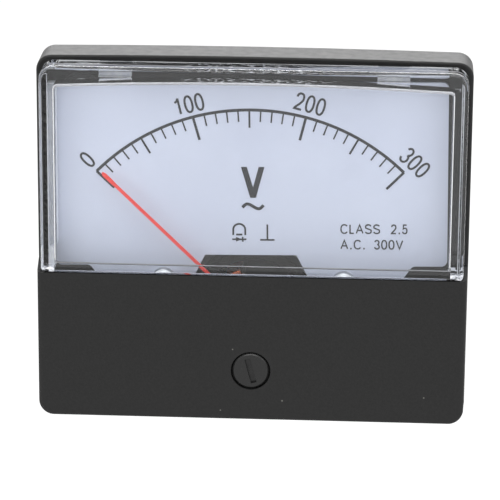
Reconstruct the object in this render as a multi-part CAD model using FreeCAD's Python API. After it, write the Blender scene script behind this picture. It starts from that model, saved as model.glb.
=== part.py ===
import FreeCAD, Part
import math
import os

# Moving-coil panel voltmeter with a low pivot, a 90 degree scale and a clear window over its upper half.
# Millimetres. X runs to the reader's right, Z up, and Y from the reader into the panel.
# Y = 0 is the panel's front surface, X = Z = 0 the centre of the face and of the four fixing studs.
# A positive angle about Y is clockwise as the reader sees it.

Vector = FreeCAD.Vector

# Face and flange
face_width = 70.0
face_height = 60.0
top_crown = 0.3          # the moulded top side bows up by this much
corner_radius = 2.5
flange_depth = 7.0
flange_edge_round = 0.4
side_wall = 1.65
floor_thickness = 1.5
rim_thickness = 0.75     # thin lip round the window and the lower cover
rebate_depth = 2.0
pocket_corner_radius = 1.5
mould_gap = 0.05         # between moulded pieces that fit into each other

# Barrel behind the panel
barrel_radius = 25.0
barrel_depth = 28.0
barrel_wall = 2.0
barrel_margin = 1.0      # from the barrel's lowest line up to the flange's lower side
barrel_chamfer = 1.0

# Fixing studs, M3, moulded into the flange's corners
stud_radius = 1.5
stud_length = 12.0
stud_head_radius = 2.5
stud_head_height = 1.0
stud_knurl_radius = 1.75  # the knurled neck that is pressed into the floor
stud_inset = 7.0
stud_boss_radius = 3.6
stud_boss_rise = 0.5
stud_tip_chamfer = 0.45

# Clear window
front_stand = 4.45       # window and lower cover stand this far in front of the rim
window_side_wall = 2.1
window_top_wall = 3.16    # at the sides
window_top_arch = 0.8     # the top wall's inner face rises by this much in the middle
window_front_wall = 1.8
window_lip = 1.0
window_lip_depth = 1.95   # from the front face to the lip's back
window_skirt_thickness = 1.1
window_skirt_depth = 2.0  # the skirts reach this far past the ledge, beside the dial
window_skirt_inset = 3.0  # from the pocket's top and the window's foot to the skirts' ends
window_corner_radius = 2.3
window_foot_radius = 0.9  # the two lower corners
window_foot_chamfer = 0.2
window_edge_round = 0.8
window_inner_round = 0.8
window_inner_edge_round = 0.5
window_above_pivot = 9.9
latch_width = 5.2
latch_offset = 22.3
latch_thickness = 1.1
latch_rise = 0.6         # above the top wall's inner face at the sides
latch_reach = 1.7
latch_barb = 1.0
latch_barb_length = 0.9
latch_gap = 0.2

# Lower cover
cover_wall = 1.6
cover_draft = 0.19
cover_edge_round = 0.8
cover_ear_rise = 1.3     # the thin side ears climb this far from the front to the rim

# Zero-adjust screw in the lower cover
zero_screw_drop = 6.25   # its axis below the pointer's axis
zero_head_radius = 3.05
zero_head_height = 0.85
zero_head_gap = 0.2
zero_head_bevel = 0.3
zero_shank_radius = 2.3
zero_boss_radius = 4.5
zero_boss_height = 0.85
zero_ring_radius = 2.7
zero_ring_height = 0.45
zero_slot_length = 4.2
zero_slot_width = 0.95
zero_slot_depth = 0.5
zero_slot_angle = -15.0
eccentric = 0.6
eccentric_pin_radius = 0.5
eccentric_pin_pass = 0.5  # how far the pin reaches through the fork

# Dial
dial_thickness = 0.5
dial_side_gap = 1.19
dial_top_gap = 2.75
dial_bottom = 3.2        # heights on the dial are counted from the scale's centre
notch_height = 8.82
notch_inset = 5.66       # from the dial's side to the notch's upper corner
notch_slant = 4.1        # from there inwards to the foot of the slanted side
cutout_top = 10.63
cutout_half_width = 7.5
cutout_flare = 0.5       # widening on each side per millimetre down
dial_corner_round = 1.0
dial_turn = -0.96        # the plate sits slightly turned on its two screws
dial_shift_x = -0.34
dial_shift_z = 0.31
dial_screw_offset = 14.8
dial_screw_above_pivot = 6.6
dial_screw_head_radius = 1.95
dial_screw_head_height = 1.3
dial_screw_radius = 1.0
dial_screw_length = 4.0
dial_hole_radius = 1.5

# Printed scale
scale_top_margin = 5.06  # from the arc up to the dial's top side
scale_sweep = 90.4
scale_divisions = 30
major_every = 10
mid_every = 5
arc_line_width = 0.48
major_tick = (3.97, 0.41)  # length and width
mid_tick = (2.97, 0.31)
minor_tick = (1.96, 0.24)
print_thickness = 0.05

# Magnet system and moving coil
ring_clearance = 1.0     # between the ring and the barrel's inner wall
ring_setback = 2.0       # from the dial's back to the ring's front
ring_length = 11.0
ring_thickness = 1.8
ring_chamfer = 0.3
core_radius = 6.6
coil_air_gap = 0.4
former_thickness = 0.4
former_half_width = 1.5
winding_thickness = 1.1
winding_half_width = 1.2
winding_round = 0.7
coil_ring_gap = 0.7
coil_rest_angle = -24.5
pointer_sweep = 90.0
spacer_half_angle = 18.0
spacer_inset = 2.5
metal_gap = 0.02         # round screws, pins and rings that sit in metal

# Movement frame
frame_inset = 3.5
frame_thickness = 3.5
frame_collar = 1.2
frame_bar_half_height = 3.5
frame_screw_inset = 3.2  # from the barrel's inner wall, at the pointer's level, to the frame's screw
frame_ear_radius = 2.6
frame_pillar_radius = 2.3
frame_barrel_gap = 0.3
frame_boss_radius = 3.4
frame_boss_web = 1.6
frame_screw_radius = 1.2
frame_screw_length = 9.5
frame_screw_head_radius = 2.1
frame_screw_head_height = 1.4

# Bridges, jewel screws and pivots
pillar_radius = 0.85
front_pillar_length = 6.2
rear_pillar_length = 4.5
bridge_thickness = 0.8
bridge_half_height = 2.4
bridge_boss_radius = 2.0
bridge_boss_height = 0.6
bridge_screw_radius = 0.5
bridge_screw_length = 2.0
bridge_screw_head_radius = 1.0
bridge_screw_head_height = 0.7
jewel_screw_radius = 1.2
jewel_reach = 0.3        # the front jewel stands this far behind the front bridge
rear_jewel_reach = 0.9
jewel_screw_length = 3.4
jewel_screw_chamfer = 0.24
jewel_slot_width = 0.4
jewel_slot_depth = 0.6
jewel_cone_radius = 0.45
jewel_cone_depth = 0.6
locknut_flats = 4.4
locknut_thickness = 1.1
staff_radius = 0.5
pivot_cone_length = 0.98
pivot_end_gap = 0.08
staff_foot_thickness = 0.3
staff_foot_half_length = 1.5
collet_radius = 1.0
stop_radius = 6.3
stop_pin_radius = 0.4
stop_ear_radius = 1.0
stop_clearance = 0.15
stop_travel_spare = 6.0  # the stops let the pointer pass each end of the scale by this angle
stop_pin_reach = 2.2

# Zero lever
lever_thickness = 0.4
lever_gap = 0.1          # axial play on the bridge's boss
lever_ring_radius = 3.2
lever_tail_half_width = 1.6
lever_tail_pass = 1.1    # how far the fork's ends pass the eccentric pin's centre at its lowest
fork_gap = 0.08
fork_depth = 1.4
lever_arm_half_width = 0.8
anchor_radius = 4.1      # inner face of the tags that hold the hairsprings' outer ends
anchor_thickness = 0.6
anchor_bore_gap = 0.3    # from the jewel screw's side to the rear anchor's foot
running_gap = 0.05

# Hairsprings
spring_width = 0.4
spring_strip = 0.14
spring_turns = 4.0
spring_inner_gap = 0.12
spring_points_per_turn = 16
spring_hub_gap = 0.5     # from the front spring's rear edge to the hub
rear_spring_setback = 0.5

# Pointer
pointer_rest_angle = -45.85
needle_offset = 0.75     # the needle's line passes beside the pivot by this much
needle_arc_gap = 0.07    # the needle's length falls this much short of the arc's radius
needle_width = 0.54
needle_tip_width = 0.24
needle_thickness = 0.2
needle_tail = 1.0
paddle_width = 0.64
paddle_length = 2.9
paddle_shoulder = 0.64
paddle_point = 0.5
hub_radius = 1.6
hub_thickness = 0.5
hub_stand = 2.4          # from the winding's front to the hub's front face
hub_arm_length = 5.0
hub_arm_half_width = 0.45
hub_arm_thickness = 0.3
balance_angle = 30.0
balance_arm_length = 6.35
balance_arm_radius = 0.25
weight_radius = 0.7
weight_length = 1.6
weight_place = 5.53

# Terminals, M4, and what they clamp
terminal_offset = 12.0
terminal_radius = 2.0
terminal_head_flats = 7.0
terminal_head_height = 2.5
terminal_boss_radius = 4.2
terminal_boss_height = 4.4
terminal_pad_radius = 5.5
terminal_pad_height = 0.8
terminal_free_length = 7.4
terminal_tip_chamfer = 0.6
terminal_root_radius = 1.65  # the thread's root, which the nut's bore takes
washer_radius = 4.5
washer_thickness = 0.8
tag_radius = 4.0
tag_thickness = 0.6
tag_length = 11.0
tag_half_width = 1.7
tag_hole_radius = 0.9
lock_washer_radius = 3.5
lock_washer_thickness = 1.0
lock_washer_split = 0.5
terminal_nut_flats = 7.0
terminal_nut_thickness = 3.2
nut_chamfer = 0.4
nut_chamfer_width = 0.8

# Rectifier board
board_half_width = 17.0
board_half_height = 5.0
board_thickness = 1.6
diode_radius = 1.0
diode_length = 3.6
diode_spacing = 3.75
diode_rows = (-1.6, 1.2)
resistor_radius = 1.6
resistor_length = 9.0
resistor_height = 3.2
resistor_cap_length = 1.2
resistor_cap_rise = 0.24  # its end caps stand proud of the body by this much
component_stand = 0.3
component_lead_radius = 0.25
component_lead_length = 0.9
wire_radius = 0.35
wire_bend = 0.9
spring_lead_side = 1.2   # from the outer diodes' middle to the spring lead
spring_lead_rise = 2.6
frame_lead_side = 0.35   # from the terminal's head to the frame lead
frame_lead_rise = 4.5
frame_lead_slack = 1.0

# Pan heads, as shares of the head's radius and height
pan_top_share = 0.6
pan_shoulder_share = 0.93
pan_shoulder_drop = 0.35
pan_edge_share = 0.15
cross_reach_share = 0.55
cross_half_width_share = 0.11
cross_depth_share = 0.4

past = 1.0               # a cutting body runs this far past what it cuts

# Planes and places worked out from the sizes above
half_width = face_width / 2
half_height = face_height / 2
rim_y = -flange_depth
front_y = rim_y - front_stand
ledge_y = rim_y + rebate_depth
rebate_half_width = half_width - rim_thickness
rebate_half_height = half_height - rim_thickness
pocket_half_width = half_width - side_wall
pocket_half_height = half_height - side_wall
dial_back_y = -floor_thickness - stud_boss_rise
dial_front_y = dial_back_y - dial_thickness
stud_x = half_width - stud_inset
stud_z = half_height - stud_inset

former_inner = core_radius + coil_air_gap
former_outer = former_inner + former_thickness
winding_outer = former_outer + winding_thickness
ring_inner = winding_outer + coil_ring_gap
ring_outer = ring_inner + ring_thickness
pillar_x = (ring_inner + ring_outer) / 2

barrel_inner = barrel_radius - barrel_wall
barrel_z = -half_height + barrel_margin + barrel_radius
barrel_floor_y = barrel_depth - barrel_wall
ring_drop = barrel_inner - ring_outer - ring_clearance
pivot_z = barrel_z - ring_drop
frame_screw_offset = math.sqrt(barrel_inner ** 2 - ring_drop ** 2) - frame_screw_inset

ring_front_y = dial_back_y + ring_setback
ring_rear_y = ring_front_y + ring_length
frame_front_y = ring_front_y + frame_inset
frame_rear_y = frame_front_y + frame_thickness
winding_front_y = ring_front_y - coil_air_gap - former_thickness - winding_thickness
winding_rear_y = ring_rear_y + coil_air_gap + former_thickness + winding_thickness

front_bridge_rear_y = ring_front_y - front_pillar_length
front_bridge_front_y = front_bridge_rear_y - bridge_thickness
rear_bridge_front_y = ring_rear_y + rear_pillar_length
rear_bridge_rear_y = rear_bridge_front_y + bridge_thickness
front_boss_y = front_bridge_front_y - bridge_boss_height
front_jewel_y = front_bridge_rear_y + jewel_reach
rear_jewel_y = rear_bridge_front_y - rear_jewel_reach
lever_rear_y = front_bridge_front_y - lever_gap
lever_front_y = lever_rear_y - lever_thickness

hub_front_y = winding_front_y - hub_stand
hub_rear_y = hub_front_y + hub_thickness
needle_front_y = hub_front_y - needle_thickness
front_spring_rear_y = hub_front_y - spring_hub_gap
front_spring_front_y = front_spring_rear_y - spring_width
rear_spring_front_y = winding_rear_y + rear_spring_setback
rear_spring_rear_y = rear_spring_front_y + spring_width

window_half_width = rebate_half_width - mould_gap
window_top = rebate_half_height - mould_gap
window_bottom = pivot_z + window_above_pivot
window_inner_half_width = window_half_width - window_side_wall
window_inner_top = window_top - window_top_wall
latch_bottom = window_inner_top + latch_rise
latch_top = latch_bottom + latch_thickness
cover_top = window_bottom - mould_gap
cover_half_width = half_width - mould_gap
cover_bottom = -half_height + mould_gap
zero_z = pivot_z - zero_screw_drop
zero_boss_y = front_y + cover_wall + zero_boss_height

dial_x = dial_shift_x
dial_z = pivot_z + dial_shift_z
dial_half_width = pocket_half_width - dial_side_gap
dial_top = pocket_half_height - dial_top_gap - dial_z
notch_half_width = dial_half_width - notch_inset
notch_foot_half_width = notch_half_width - notch_slant
scale_radius = dial_top - scale_top_margin
needle_radius = scale_radius - needle_arc_gap
dial_screw_z = pivot_z + dial_screw_above_pivot

board_rear_y = barrel_floor_y - terminal_boss_height
board_front_y = board_rear_y - board_thickness
pad_y = barrel_depth + terminal_pad_height
washer_y = pad_y + washer_thickness
tag_y = washer_y + tag_thickness
lock_washer_y = tag_y + lock_washer_thickness
nut_y = lock_washer_y + terminal_nut_thickness
terminal_end_y = nut_y + terminal_free_length


def block(x0, x1, y0, y1, z0, z1):
    return Part.makeBox(x1 - x0, y1 - y0, z1 - z0, Vector(x0, y0, z0))


def rod(x, z, radius, y0, y1):
    """Round bar along Y."""
    return Part.makeCylinder(radius, y1 - y0, Vector(x, y0, z), Vector(0, 1, 0))


def sleeve(x, z, outer, inner, y0, y1):
    return rod(x, z, outer, y0, y1).cut(rod(x, z, inner, y0, y1))


def outward(solid):
    """The same solid with its faces pointing outwards."""
    if solid.Volume < 0:
        solid.reverse()
    return solid


def turned(x, z, profile):
    """Turned piece on an axis along Y, from its half section as (y, radius) points."""
    points = [Vector(x + radius, y, z) for y, radius in profile]
    face = Part.Face(Part.makePolygon(points + points[:1]))
    return outward(face.revolve(Vector(x, 0, z), Vector(0, 1, 0), 360))


def panel(outline, y0, y1):
    """Flat piece between two planes, from its outline as (x, z) points."""
    points = [Vector(x, y0, z) for x, z in outline]
    face = Part.Face(Part.makePolygon(points + points[:1]))
    return outward(face.extrude(Vector(0, y1 - y0, 0)))


def hexagon(x, z, flats, y0, y1):
    corner = flats / math.sqrt(3)
    turns = [math.radians(60 * i) for i in range(6)]
    return panel([(x + corner * math.sin(a), z + corner * math.cos(a)) for a in turns], y0, y1)


def rounded_outline(half, bottom, top, bottom_radius, top_radius, y, crown=0.0):
    """Closed wire of an upright rectangle with round corners, whose top side may bow up."""
    def at(x, z):
        return Vector(x, y, z)

    def corner(cx, cz, radius, degrees):
        spots = [math.radians(degrees + turn) for turn in (0, 45, 90)]
        return Part.Arc(*[at(cx + radius * math.cos(a), cz + radius * math.sin(a)) for a in spots]).toShape()

    low = bottom + bottom_radius
    high = top - top_radius
    left_top = at(-half + top_radius, top)
    right_top = at(half - top_radius, top)
    if crown:
        top_side = Part.Arc(right_top, at(0, top + crown), left_top).toShape()
    else:
        top_side = Part.LineSegment(right_top, left_top).toShape()
    return Part.Wire([
        Part.LineSegment(at(-half + bottom_radius, bottom), at(half - bottom_radius, bottom)).toShape(),
        corner(half - bottom_radius, low, bottom_radius, -90),
        Part.LineSegment(at(half, low), at(half, high)).toShape(),
        corner(half - top_radius, high, top_radius, 0),
        top_side,
        corner(-half + top_radius, high, top_radius, 90),
        Part.LineSegment(at(-half, high), at(-half, low)).toShape(),
        corner(-half + bottom_radius, low, bottom_radius, 180),
    ])


def rounded_block(half, bottom, top, radius, y0, y1, crown=0.0, bottom_radius=None):
    low_radius = radius if bottom_radius is None else bottom_radius
    wire = rounded_outline(half, bottom, top, low_radius, radius, y0, crown)
    return outward(Part.Face(wire).extrude(Vector(0, y1 - y0, 0)))


def round_edges_at(solid, y, radius):
    """Rounds every edge that lies in the plane at depth y."""
    edges = [e for e in solid.Edges if abs(e.BoundBox.YMin - y) < 1e-6 and abs(e.BoundBox.YMax - y) < 1e-6]
    return solid.makeFillet(radius, edges)


def turn(shape, degrees, x=0.0, z=None):
    """Turns a piece about the line along Y through (x, z), by default the pointer's axis."""
    moved = shape.copy()
    moved.rotate(Vector(x, 0, pivot_z if z is None else z), Vector(0, 1, 0), degrees)
    return moved


def both_sides(make):
    """The left and the right copy of a piece that is made for one side, -1 or 1."""
    return [make(side) for side in (-1, 1)]


def fused(pieces):
    return pieces[0].multiFuse(pieces[1:]).removeSplitter()


def bent_wire(points, radius, bend):
    """Wire of round section along straight runs joined by tangent arcs."""
    spots = [Vector(*p) for p in points]
    edges = []
    start = spots[0]
    for before, here, after in zip(spots, spots[1:], spots[2:]):
        way_in = (here - before).normalize()
        way_out = (after - here).normalize()
        half_turn = way_in.getAngle(way_out) / 2
        setback = bend * math.tan(half_turn)
        enter = here - way_in * setback
        leave = here + way_out * setback
        inward = (way_out - way_in).normalize()
        middle = here + inward * (bend / math.cos(half_turn) - bend)
        edges.append(Part.LineSegment(start, enter).toShape())
        edges.append(Part.Arc(enter, middle, leave).toShape())
        start = leave
    edges.append(Part.LineSegment(start, spots[-1]).toShape())
    path = Part.Wire(edges)
    first = (spots[1] - spots[0]).normalize()
    profile = Part.Wire([Part.Circle(spots[0], first, radius).toShape()])
    return outward(path.makePipeShell([profile], True, False))


def latch_x(side):
    return side * latch_offset


def make_rear_case():
    """One moulding: the flange box in front of the panel and the barrel behind it."""
    flange = rounded_block(half_width, -half_height, half_height, corner_radius, 0, rim_y, top_crown)
    flange = round_edges_at(flange, rim_y, flange_edge_round)
    barrel = turned(0, barrel_z, [
        (-floor_thickness, 0), (-floor_thickness, barrel_radius),
        (barrel_depth - barrel_chamfer, barrel_radius), (barrel_depth, barrel_radius - barrel_chamfer),
        (barrel_depth, 0)])
    pads = both_sides(lambda s: rod(
        s * terminal_offset, barrel_z, terminal_pad_radius, barrel_floor_y, pad_y))
    shell = flange.fuse([barrel] + pads)

    pocket = rounded_block(pocket_half_width, -pocket_half_height, pocket_half_height,
                           pocket_corner_radius, -floor_thickness, rim_y - past)
    rebate = rounded_block(rebate_half_width, -rebate_half_height, rebate_half_height,
                           window_corner_radius, ledge_y, rim_y - past)
    bore = rod(0, barrel_z, barrel_inner, -floor_thickness - past, barrel_floor_y)
    shell = shell.cut([pocket, rebate, bore])

    inside = rod(0, barrel_z, barrel_inner + barrel_wall / 2, frame_rear_y, barrel_floor_y + barrel_wall / 2)
    bosses = []
    holes = []
    for side in (-1, 1):
        screw_x = side * frame_screw_offset
        web = block(min(screw_x, side * barrel_radius), max(screw_x, side * barrel_radius),
                    frame_rear_y, barrel_floor_y + barrel_wall / 2,
                    pivot_z - frame_boss_web / 2, pivot_z + frame_boss_web / 2)
        post = rod(screw_x, pivot_z, frame_boss_radius, frame_rear_y, barrel_floor_y + barrel_wall / 2)
        bosses += [web.common(inside), post.common(inside)]
        holes.append(rod(screw_x, pivot_z, frame_screw_radius + metal_gap,
                         frame_rear_y - past, frame_rear_y + frame_screw_length))
        terminal_x = side * terminal_offset
        bosses.append(rod(terminal_x, barrel_z, terminal_boss_radius, board_rear_y, barrel_floor_y))
        holes.append(rod(terminal_x, barrel_z, terminal_radius + mould_gap,
                         board_rear_y - past, pad_y + past))
        for level in (-stud_z, stud_z):
            x = side * stud_x
            bosses.append(rod(x, level, stud_boss_radius, dial_back_y, -floor_thickness / 2))
            holes.append(rod(x, level, stud_knurl_radius + metal_gap, dial_back_y - past, past))
            holes.append(rod(x, level, stud_head_radius + mould_gap,
                             dial_back_y - past, dial_back_y + stud_head_height))
        reach = latch_width / 2 + latch_gap
        barb_y = ledge_y + latch_reach
        holes.append(block(latch_x(side) - reach, latch_x(side) + reach,
                           barb_y - latch_barb_length - latch_gap, barb_y + latch_gap,
                           latch_bottom, latch_top + latch_barb + mould_gap))
    return shell.fuse(bosses).cut(holes).removeSplitter()


def make_mounting_studs():
    """Four M3 studs whose heads and knurled necks sit in the flange's floor."""
    def stud(x, z):
        head_y = dial_back_y + stud_head_height
        return turned(x, z, [
            (dial_back_y, 0), (dial_back_y, stud_head_radius), (head_y, stud_head_radius),
            (head_y, stud_knurl_radius), (0, stud_knurl_radius), (0, stud_radius),
            (stud_length - stud_tip_chamfer, stud_radius), (stud_length, stud_radius - stud_tip_chamfer),
            (stud_length, 0)])
    return [stud(x, z) for x in (-stud_x, stud_x) for z in (-stud_z, stud_z)]


def make_window():
    """Clear moulding: four sides of a box, two skirts into the case and two latches into its top wall."""
    blank_bottom = window_bottom - window_corner_radius - past
    body = rounded_block(window_half_width, blank_bottom, window_top, window_corner_radius, front_y, ledge_y)
    body = round_edges_at(body, front_y, window_edge_round)
    trim = block(-half_width, half_width, front_y - past, ledge_y + past, blank_bottom - past, window_bottom)
    foot_points = [Vector(-half_width, y, window_bottom + z) for y, z in (
        (front_y - past, -past), (front_y + window_foot_chamfer + past, -past),
        (front_y - past, window_foot_chamfer + past))]
    foot_edge = Part.Face(Part.makePolygon(foot_points + foot_points[:1])).extrude(Vector(face_width, 0, 0))

    def corner_waste(side):
        middle_x = side * (window_half_width - window_foot_radius)
        middle_z = window_bottom + window_foot_radius
        x0, x1 = sorted((middle_x, side * half_width))
        square = block(x0, x1, front_y - past, ledge_y + past, window_bottom - past, middle_z)
        return square.cut(rod(middle_x, middle_z, window_foot_radius, front_y - past, ledge_y + past))
    inner_y = front_y + window_front_wall
    inner = rounded_block(window_inner_half_width, window_bottom + window_lip, window_inner_top,
                          window_inner_round, inner_y, ledge_y + past, window_top_arch)
    inner = round_edges_at(inner, inner_y, window_inner_edge_round)
    behind_lip = block(-window_inner_half_width, window_inner_half_width, front_y + window_lip_depth,
                       ledge_y + past, window_bottom - past, window_bottom + window_lip + window_inner_round)

    def skirt(side):
        outer_x = window_inner_half_width + window_skirt_thickness
        x0, x1 = sorted((side * window_inner_half_width, side * outer_x))
        return block(x0, x1, rim_y, ledge_y + window_skirt_depth,
                     window_bottom + window_skirt_inset, pocket_half_height - window_skirt_inset)

    def latch(side):
        x0 = latch_x(side) - latch_width / 2
        tip_y = ledge_y + latch_reach
        tongue = block(x0, x0 + latch_width, ledge_y - rebate_depth, tip_y, latch_bottom, latch_top)
        barb_y = tip_y - latch_barb_length
        root_z = latch_top - latch_barb / 2
        corners = [(barb_y, root_z), (tip_y, root_z), (barb_y, latch_top + latch_barb)]
        points = [Vector(x0, y, z) for y, z in corners]
        barb = Part.Face(Part.makePolygon(points + points[:1])).extrude(Vector(latch_width, 0, 0))
        return tongue.fuse(outward(barb))
    waste = [trim, outward(foot_edge), inner, behind_lip] + both_sides(corner_waste)
    return body.cut(waste).fuse(both_sides(latch) + both_sides(skirt)).removeSplitter()


def make_lower_cover():
    """Matt cover over the movement: a drafted tray with thin ears up beside the window's foot."""
    above = window_bottom + face_height / 4  # the tray is made this high and then trimmed
    tray = outward(Part.makeLoft([
        rounded_outline(cover_half_width, cover_bottom, above, corner_radius, corner_radius, rim_y),
        rounded_outline(cover_half_width - cover_draft, cover_bottom + cover_draft / 2, above,
                        corner_radius, corner_radius, front_y)], True, True))
    tray = round_edges_at(tray, front_y, cover_edge_round)
    foot = rounded_block(window_half_width, -rebate_half_height + mould_gap, above,
                         window_corner_radius, rim_y, ledge_y)
    pocket = rounded_block(pocket_half_width, -pocket_half_height, above + corner_radius + past,
                           pocket_corner_radius, front_y + cover_wall, ledge_y + past)
    trim = block(-half_width, half_width, front_y - past, ledge_y + past, cover_top, above + past)
    boss = rod(0, zero_z, zero_boss_radius, front_y + cover_wall / 2, zero_boss_y)
    cover = tray.fuse(foot).cut(pocket).cut(trim).fuse(boss)

    ear_side = [(front_y, cover_top - past), (rim_y, cover_top - past), (rim_y, cover_top + cover_ear_rise),
                (front_y, cover_top)]
    ears = []
    for side in (-1, 1):
        inner_x = side * rebate_half_width
        points = [Vector(inner_x, y, z) for y, z in ear_side]
        profile = Part.Face(Part.makePolygon(points + points[:1]))
        wedge = profile.extrude(Vector(side * rim_thickness * 2, 0, 0))
        ears.append(outward(wedge).common(tray))
    recess_y = front_y + zero_head_height + mould_gap
    holes = [rod(0, zero_z, zero_head_radius + zero_head_gap, front_y - past, recess_y),
             rod(0, zero_z, zero_shank_radius + running_gap, front_y - past, zero_boss_y + past)]
    return cover.fuse(ears).cut(holes).removeSplitter()


def make_zero_screw():
    """Slotted plug that snaps into the cover, with the eccentric pin for the zero lever on its back."""
    head_y = front_y + zero_head_height
    ring_y = zero_boss_y + running_gap
    ring_end_y = ring_y + zero_ring_height
    plug = turned(0, zero_z, [
        (front_y, 0), (front_y, zero_head_radius - zero_head_bevel),
        (front_y + zero_head_bevel, zero_head_radius),
        (head_y, zero_head_radius), (head_y, zero_shank_radius), (ring_y, zero_shank_radius),
        (ring_y, zero_ring_radius), (ring_end_y, zero_shank_radius), (ring_end_y, 0)])
    slot = block(-zero_slot_width / 2, zero_slot_width / 2, front_y - past, front_y + zero_slot_depth,
                 zero_z - zero_slot_length / 2, zero_z + zero_slot_length / 2)
    pin = rod(0, zero_z - eccentric, eccentric_pin_radius, ring_end_y - zero_ring_height / 2,
              lever_rear_y + eccentric_pin_pass)
    return plug.cut(turn(slot, zero_slot_angle, 0, zero_z)).fuse(pin).removeSplitter()


def cutout_at(height):
    """Half width of the dial's cut-out at a height above the scale's centre."""
    return cutout_half_width + (cutout_top - height) * cutout_flare


def on_dial(shape):
    """Carries a shape from the scale's own centre to its place in the case."""
    placed = shape.copy()
    placed.translate(Vector(dial_x, 0, dial_z))
    return turn(placed, dial_turn, dial_x, dial_z)


def make_dial_plate():
    half_outline = [(0, dial_top), (dial_half_width, dial_top), (dial_half_width, notch_height),
                    (notch_half_width, notch_height), (notch_foot_half_width, dial_bottom),
                    (cutout_at(dial_bottom), dial_bottom), (cutout_half_width, cutout_top), (0, cutout_top)]
    mirrored = [(-x, z) for x, z in reversed(half_outline[1:-1])]
    plate = panel(half_outline + mirrored, dial_front_y, dial_back_y)
    round_at = [(side * x, z) for side in (-1, 1) for x, z in half_outline[1:4]]
    corners = [e for e in plate.Edges if any(
        abs(e.BoundBox.XMin - x) < 1e-6 and abs(e.BoundBox.XMax - x) < 1e-6
        and abs(e.BoundBox.ZMin - z) < 1e-6 and abs(e.BoundBox.ZMax - z) < 1e-6 for x, z in round_at)]
    plate = on_dial(plate.makeFillet(dial_corner_round, corners))
    holes = both_sides(lambda s: rod(s * dial_screw_offset, dial_screw_z, dial_hole_radius,
                                     dial_front_y - past, dial_back_y + past))
    return plate.cut(holes)


def make_scale_marks():
    """The printed arc and its division lines, a thin layer of ink on the dial."""
    y0 = dial_front_y - print_thickness

    def spot(radius, degrees):
        a = math.radians(degrees)
        return Vector(radius * math.sin(a), y0, radius * math.cos(a))

    end = scale_sweep / 2
    outer = scale_radius + arc_line_width / 2
    inner = scale_radius - arc_line_width / 2
    band_wire = Part.Wire([
        Part.Arc(spot(outer, -end), spot(outer, 0), spot(outer, end)).toShape(),
        Part.LineSegment(spot(outer, end), spot(inner, end)).toShape(),
        Part.Arc(spot(inner, end), spot(inner, 0), spot(inner, -end)).toShape(),
        Part.LineSegment(spot(inner, -end), spot(outer, -end)).toShape()])
    marks = [outward(Part.Face(band_wire).extrude(Vector(0, print_thickness, 0)))]
    for i in range(scale_divisions + 1):
        length, width = minor_tick
        if i % mid_every == 0:
            length, width = mid_tick
        if i % major_every == 0:
            length, width = major_tick
        tick = block(-width / 2, width / 2, y0, dial_front_y, scale_radius - length, scale_radius)
        marks.append(turn(tick, -end + i * scale_sweep / scale_divisions, 0, 0))
    return on_dial(fused(marks))


def pan_screw(x, z, head_radius, head_height, radius, length, seat_y, way=1):
    """Pan-head screw whose head sits on the plane seat_y; its shank runs along Y, way 1 or -1."""
    top = seat_y - way * head_height
    screw = turned(x, z, [
        (top, 0), (top, head_radius * pan_top_share),
        (top + way * head_height * pan_shoulder_drop, head_radius * pan_shoulder_share),
        (seat_y - way * head_height * pan_edge_share, head_radius), (seat_y, head_radius), (seat_y, radius),
        (seat_y + way * length, radius), (seat_y + way * length, 0)])
    reach = head_radius * cross_reach_share
    w = head_radius * cross_half_width_share
    depth = head_height * cross_depth_share
    y0, y1 = sorted((top - way * past, top + way * depth))
    return screw.cut([block(x - reach, x + reach, y0, y1, z - w, z + w),
                      block(x - w, x + w, y0, y1, z - reach, z + reach)])


def make_dial_screws():
    return both_sides(lambda s: pan_screw(
        s * dial_screw_offset, dial_screw_z, dial_screw_head_radius, dial_screw_head_height,
        dial_screw_radius, dial_thickness + dial_screw_length, dial_front_y))


def make_movement_frame():
    """Die-cast frame: a collar round the ring, feet for its two screws and posts that carry the dial."""
    pieces = [rod(0, pivot_z, ring_outer + frame_collar, frame_front_y, frame_rear_y),
              block(-frame_screw_offset, frame_screw_offset, frame_front_y, frame_rear_y,
                    pivot_z - frame_bar_half_height, pivot_z + frame_bar_half_height)]
    holes = [rod(0, pivot_z, ring_outer + metal_gap, frame_front_y - past, frame_rear_y + past)]
    for side in (-1, 1):
        foot_x = side * frame_screw_offset
        ear_x = side * dial_screw_offset
        inner_x = side * (ring_inner + ring_outer) / 2
        pieces.append(rod(foot_x, pivot_z, frame_bar_half_height, frame_front_y, frame_rear_y))
        pieces.append(rod(ear_x, dial_screw_z, frame_ear_radius, frame_front_y, frame_rear_y))
        pieces.append(panel([
            (inner_x, pivot_z), (foot_x, pivot_z), (ear_x + side * frame_ear_radius, dial_screw_z),
            (ear_x, dial_screw_z + frame_ear_radius), (inner_x, pivot_z + ring_inner - frame_collar)],
            frame_front_y, frame_rear_y))
        pieces.append(rod(ear_x, dial_screw_z, frame_pillar_radius, dial_back_y, frame_rear_y))
        holes.append(rod(foot_x, pivot_z, frame_screw_radius + mould_gap,
                         frame_front_y - past, frame_rear_y + past))
        holes.append(rod(ear_x, dial_screw_z, dial_screw_radius + metal_gap,
                         dial_back_y - past, dial_back_y + dial_screw_length + mould_gap))
    room = rod(0, barrel_z, barrel_inner - frame_barrel_gap, dial_back_y, frame_rear_y)
    return fused(pieces).common(room).cut(holes).removeSplitter()


def make_movement_screws():
    return both_sides(lambda s: pan_screw(
        s * frame_screw_offset, pivot_z, frame_screw_head_radius, frame_screw_head_height,
        frame_screw_radius, frame_thickness + frame_screw_length - mould_gap, frame_front_y))


def make_pole_ring():
    c = ring_chamfer
    return turned(0, pivot_z, [
        (ring_front_y, ring_inner + c), (ring_front_y, ring_outer - c), (ring_front_y + c, ring_outer),
        (ring_rear_y - c, ring_outer), (ring_rear_y, ring_outer - c), (ring_rear_y, ring_inner + c),
        (ring_rear_y - c, ring_inner), (ring_front_y + c, ring_inner)])


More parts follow.
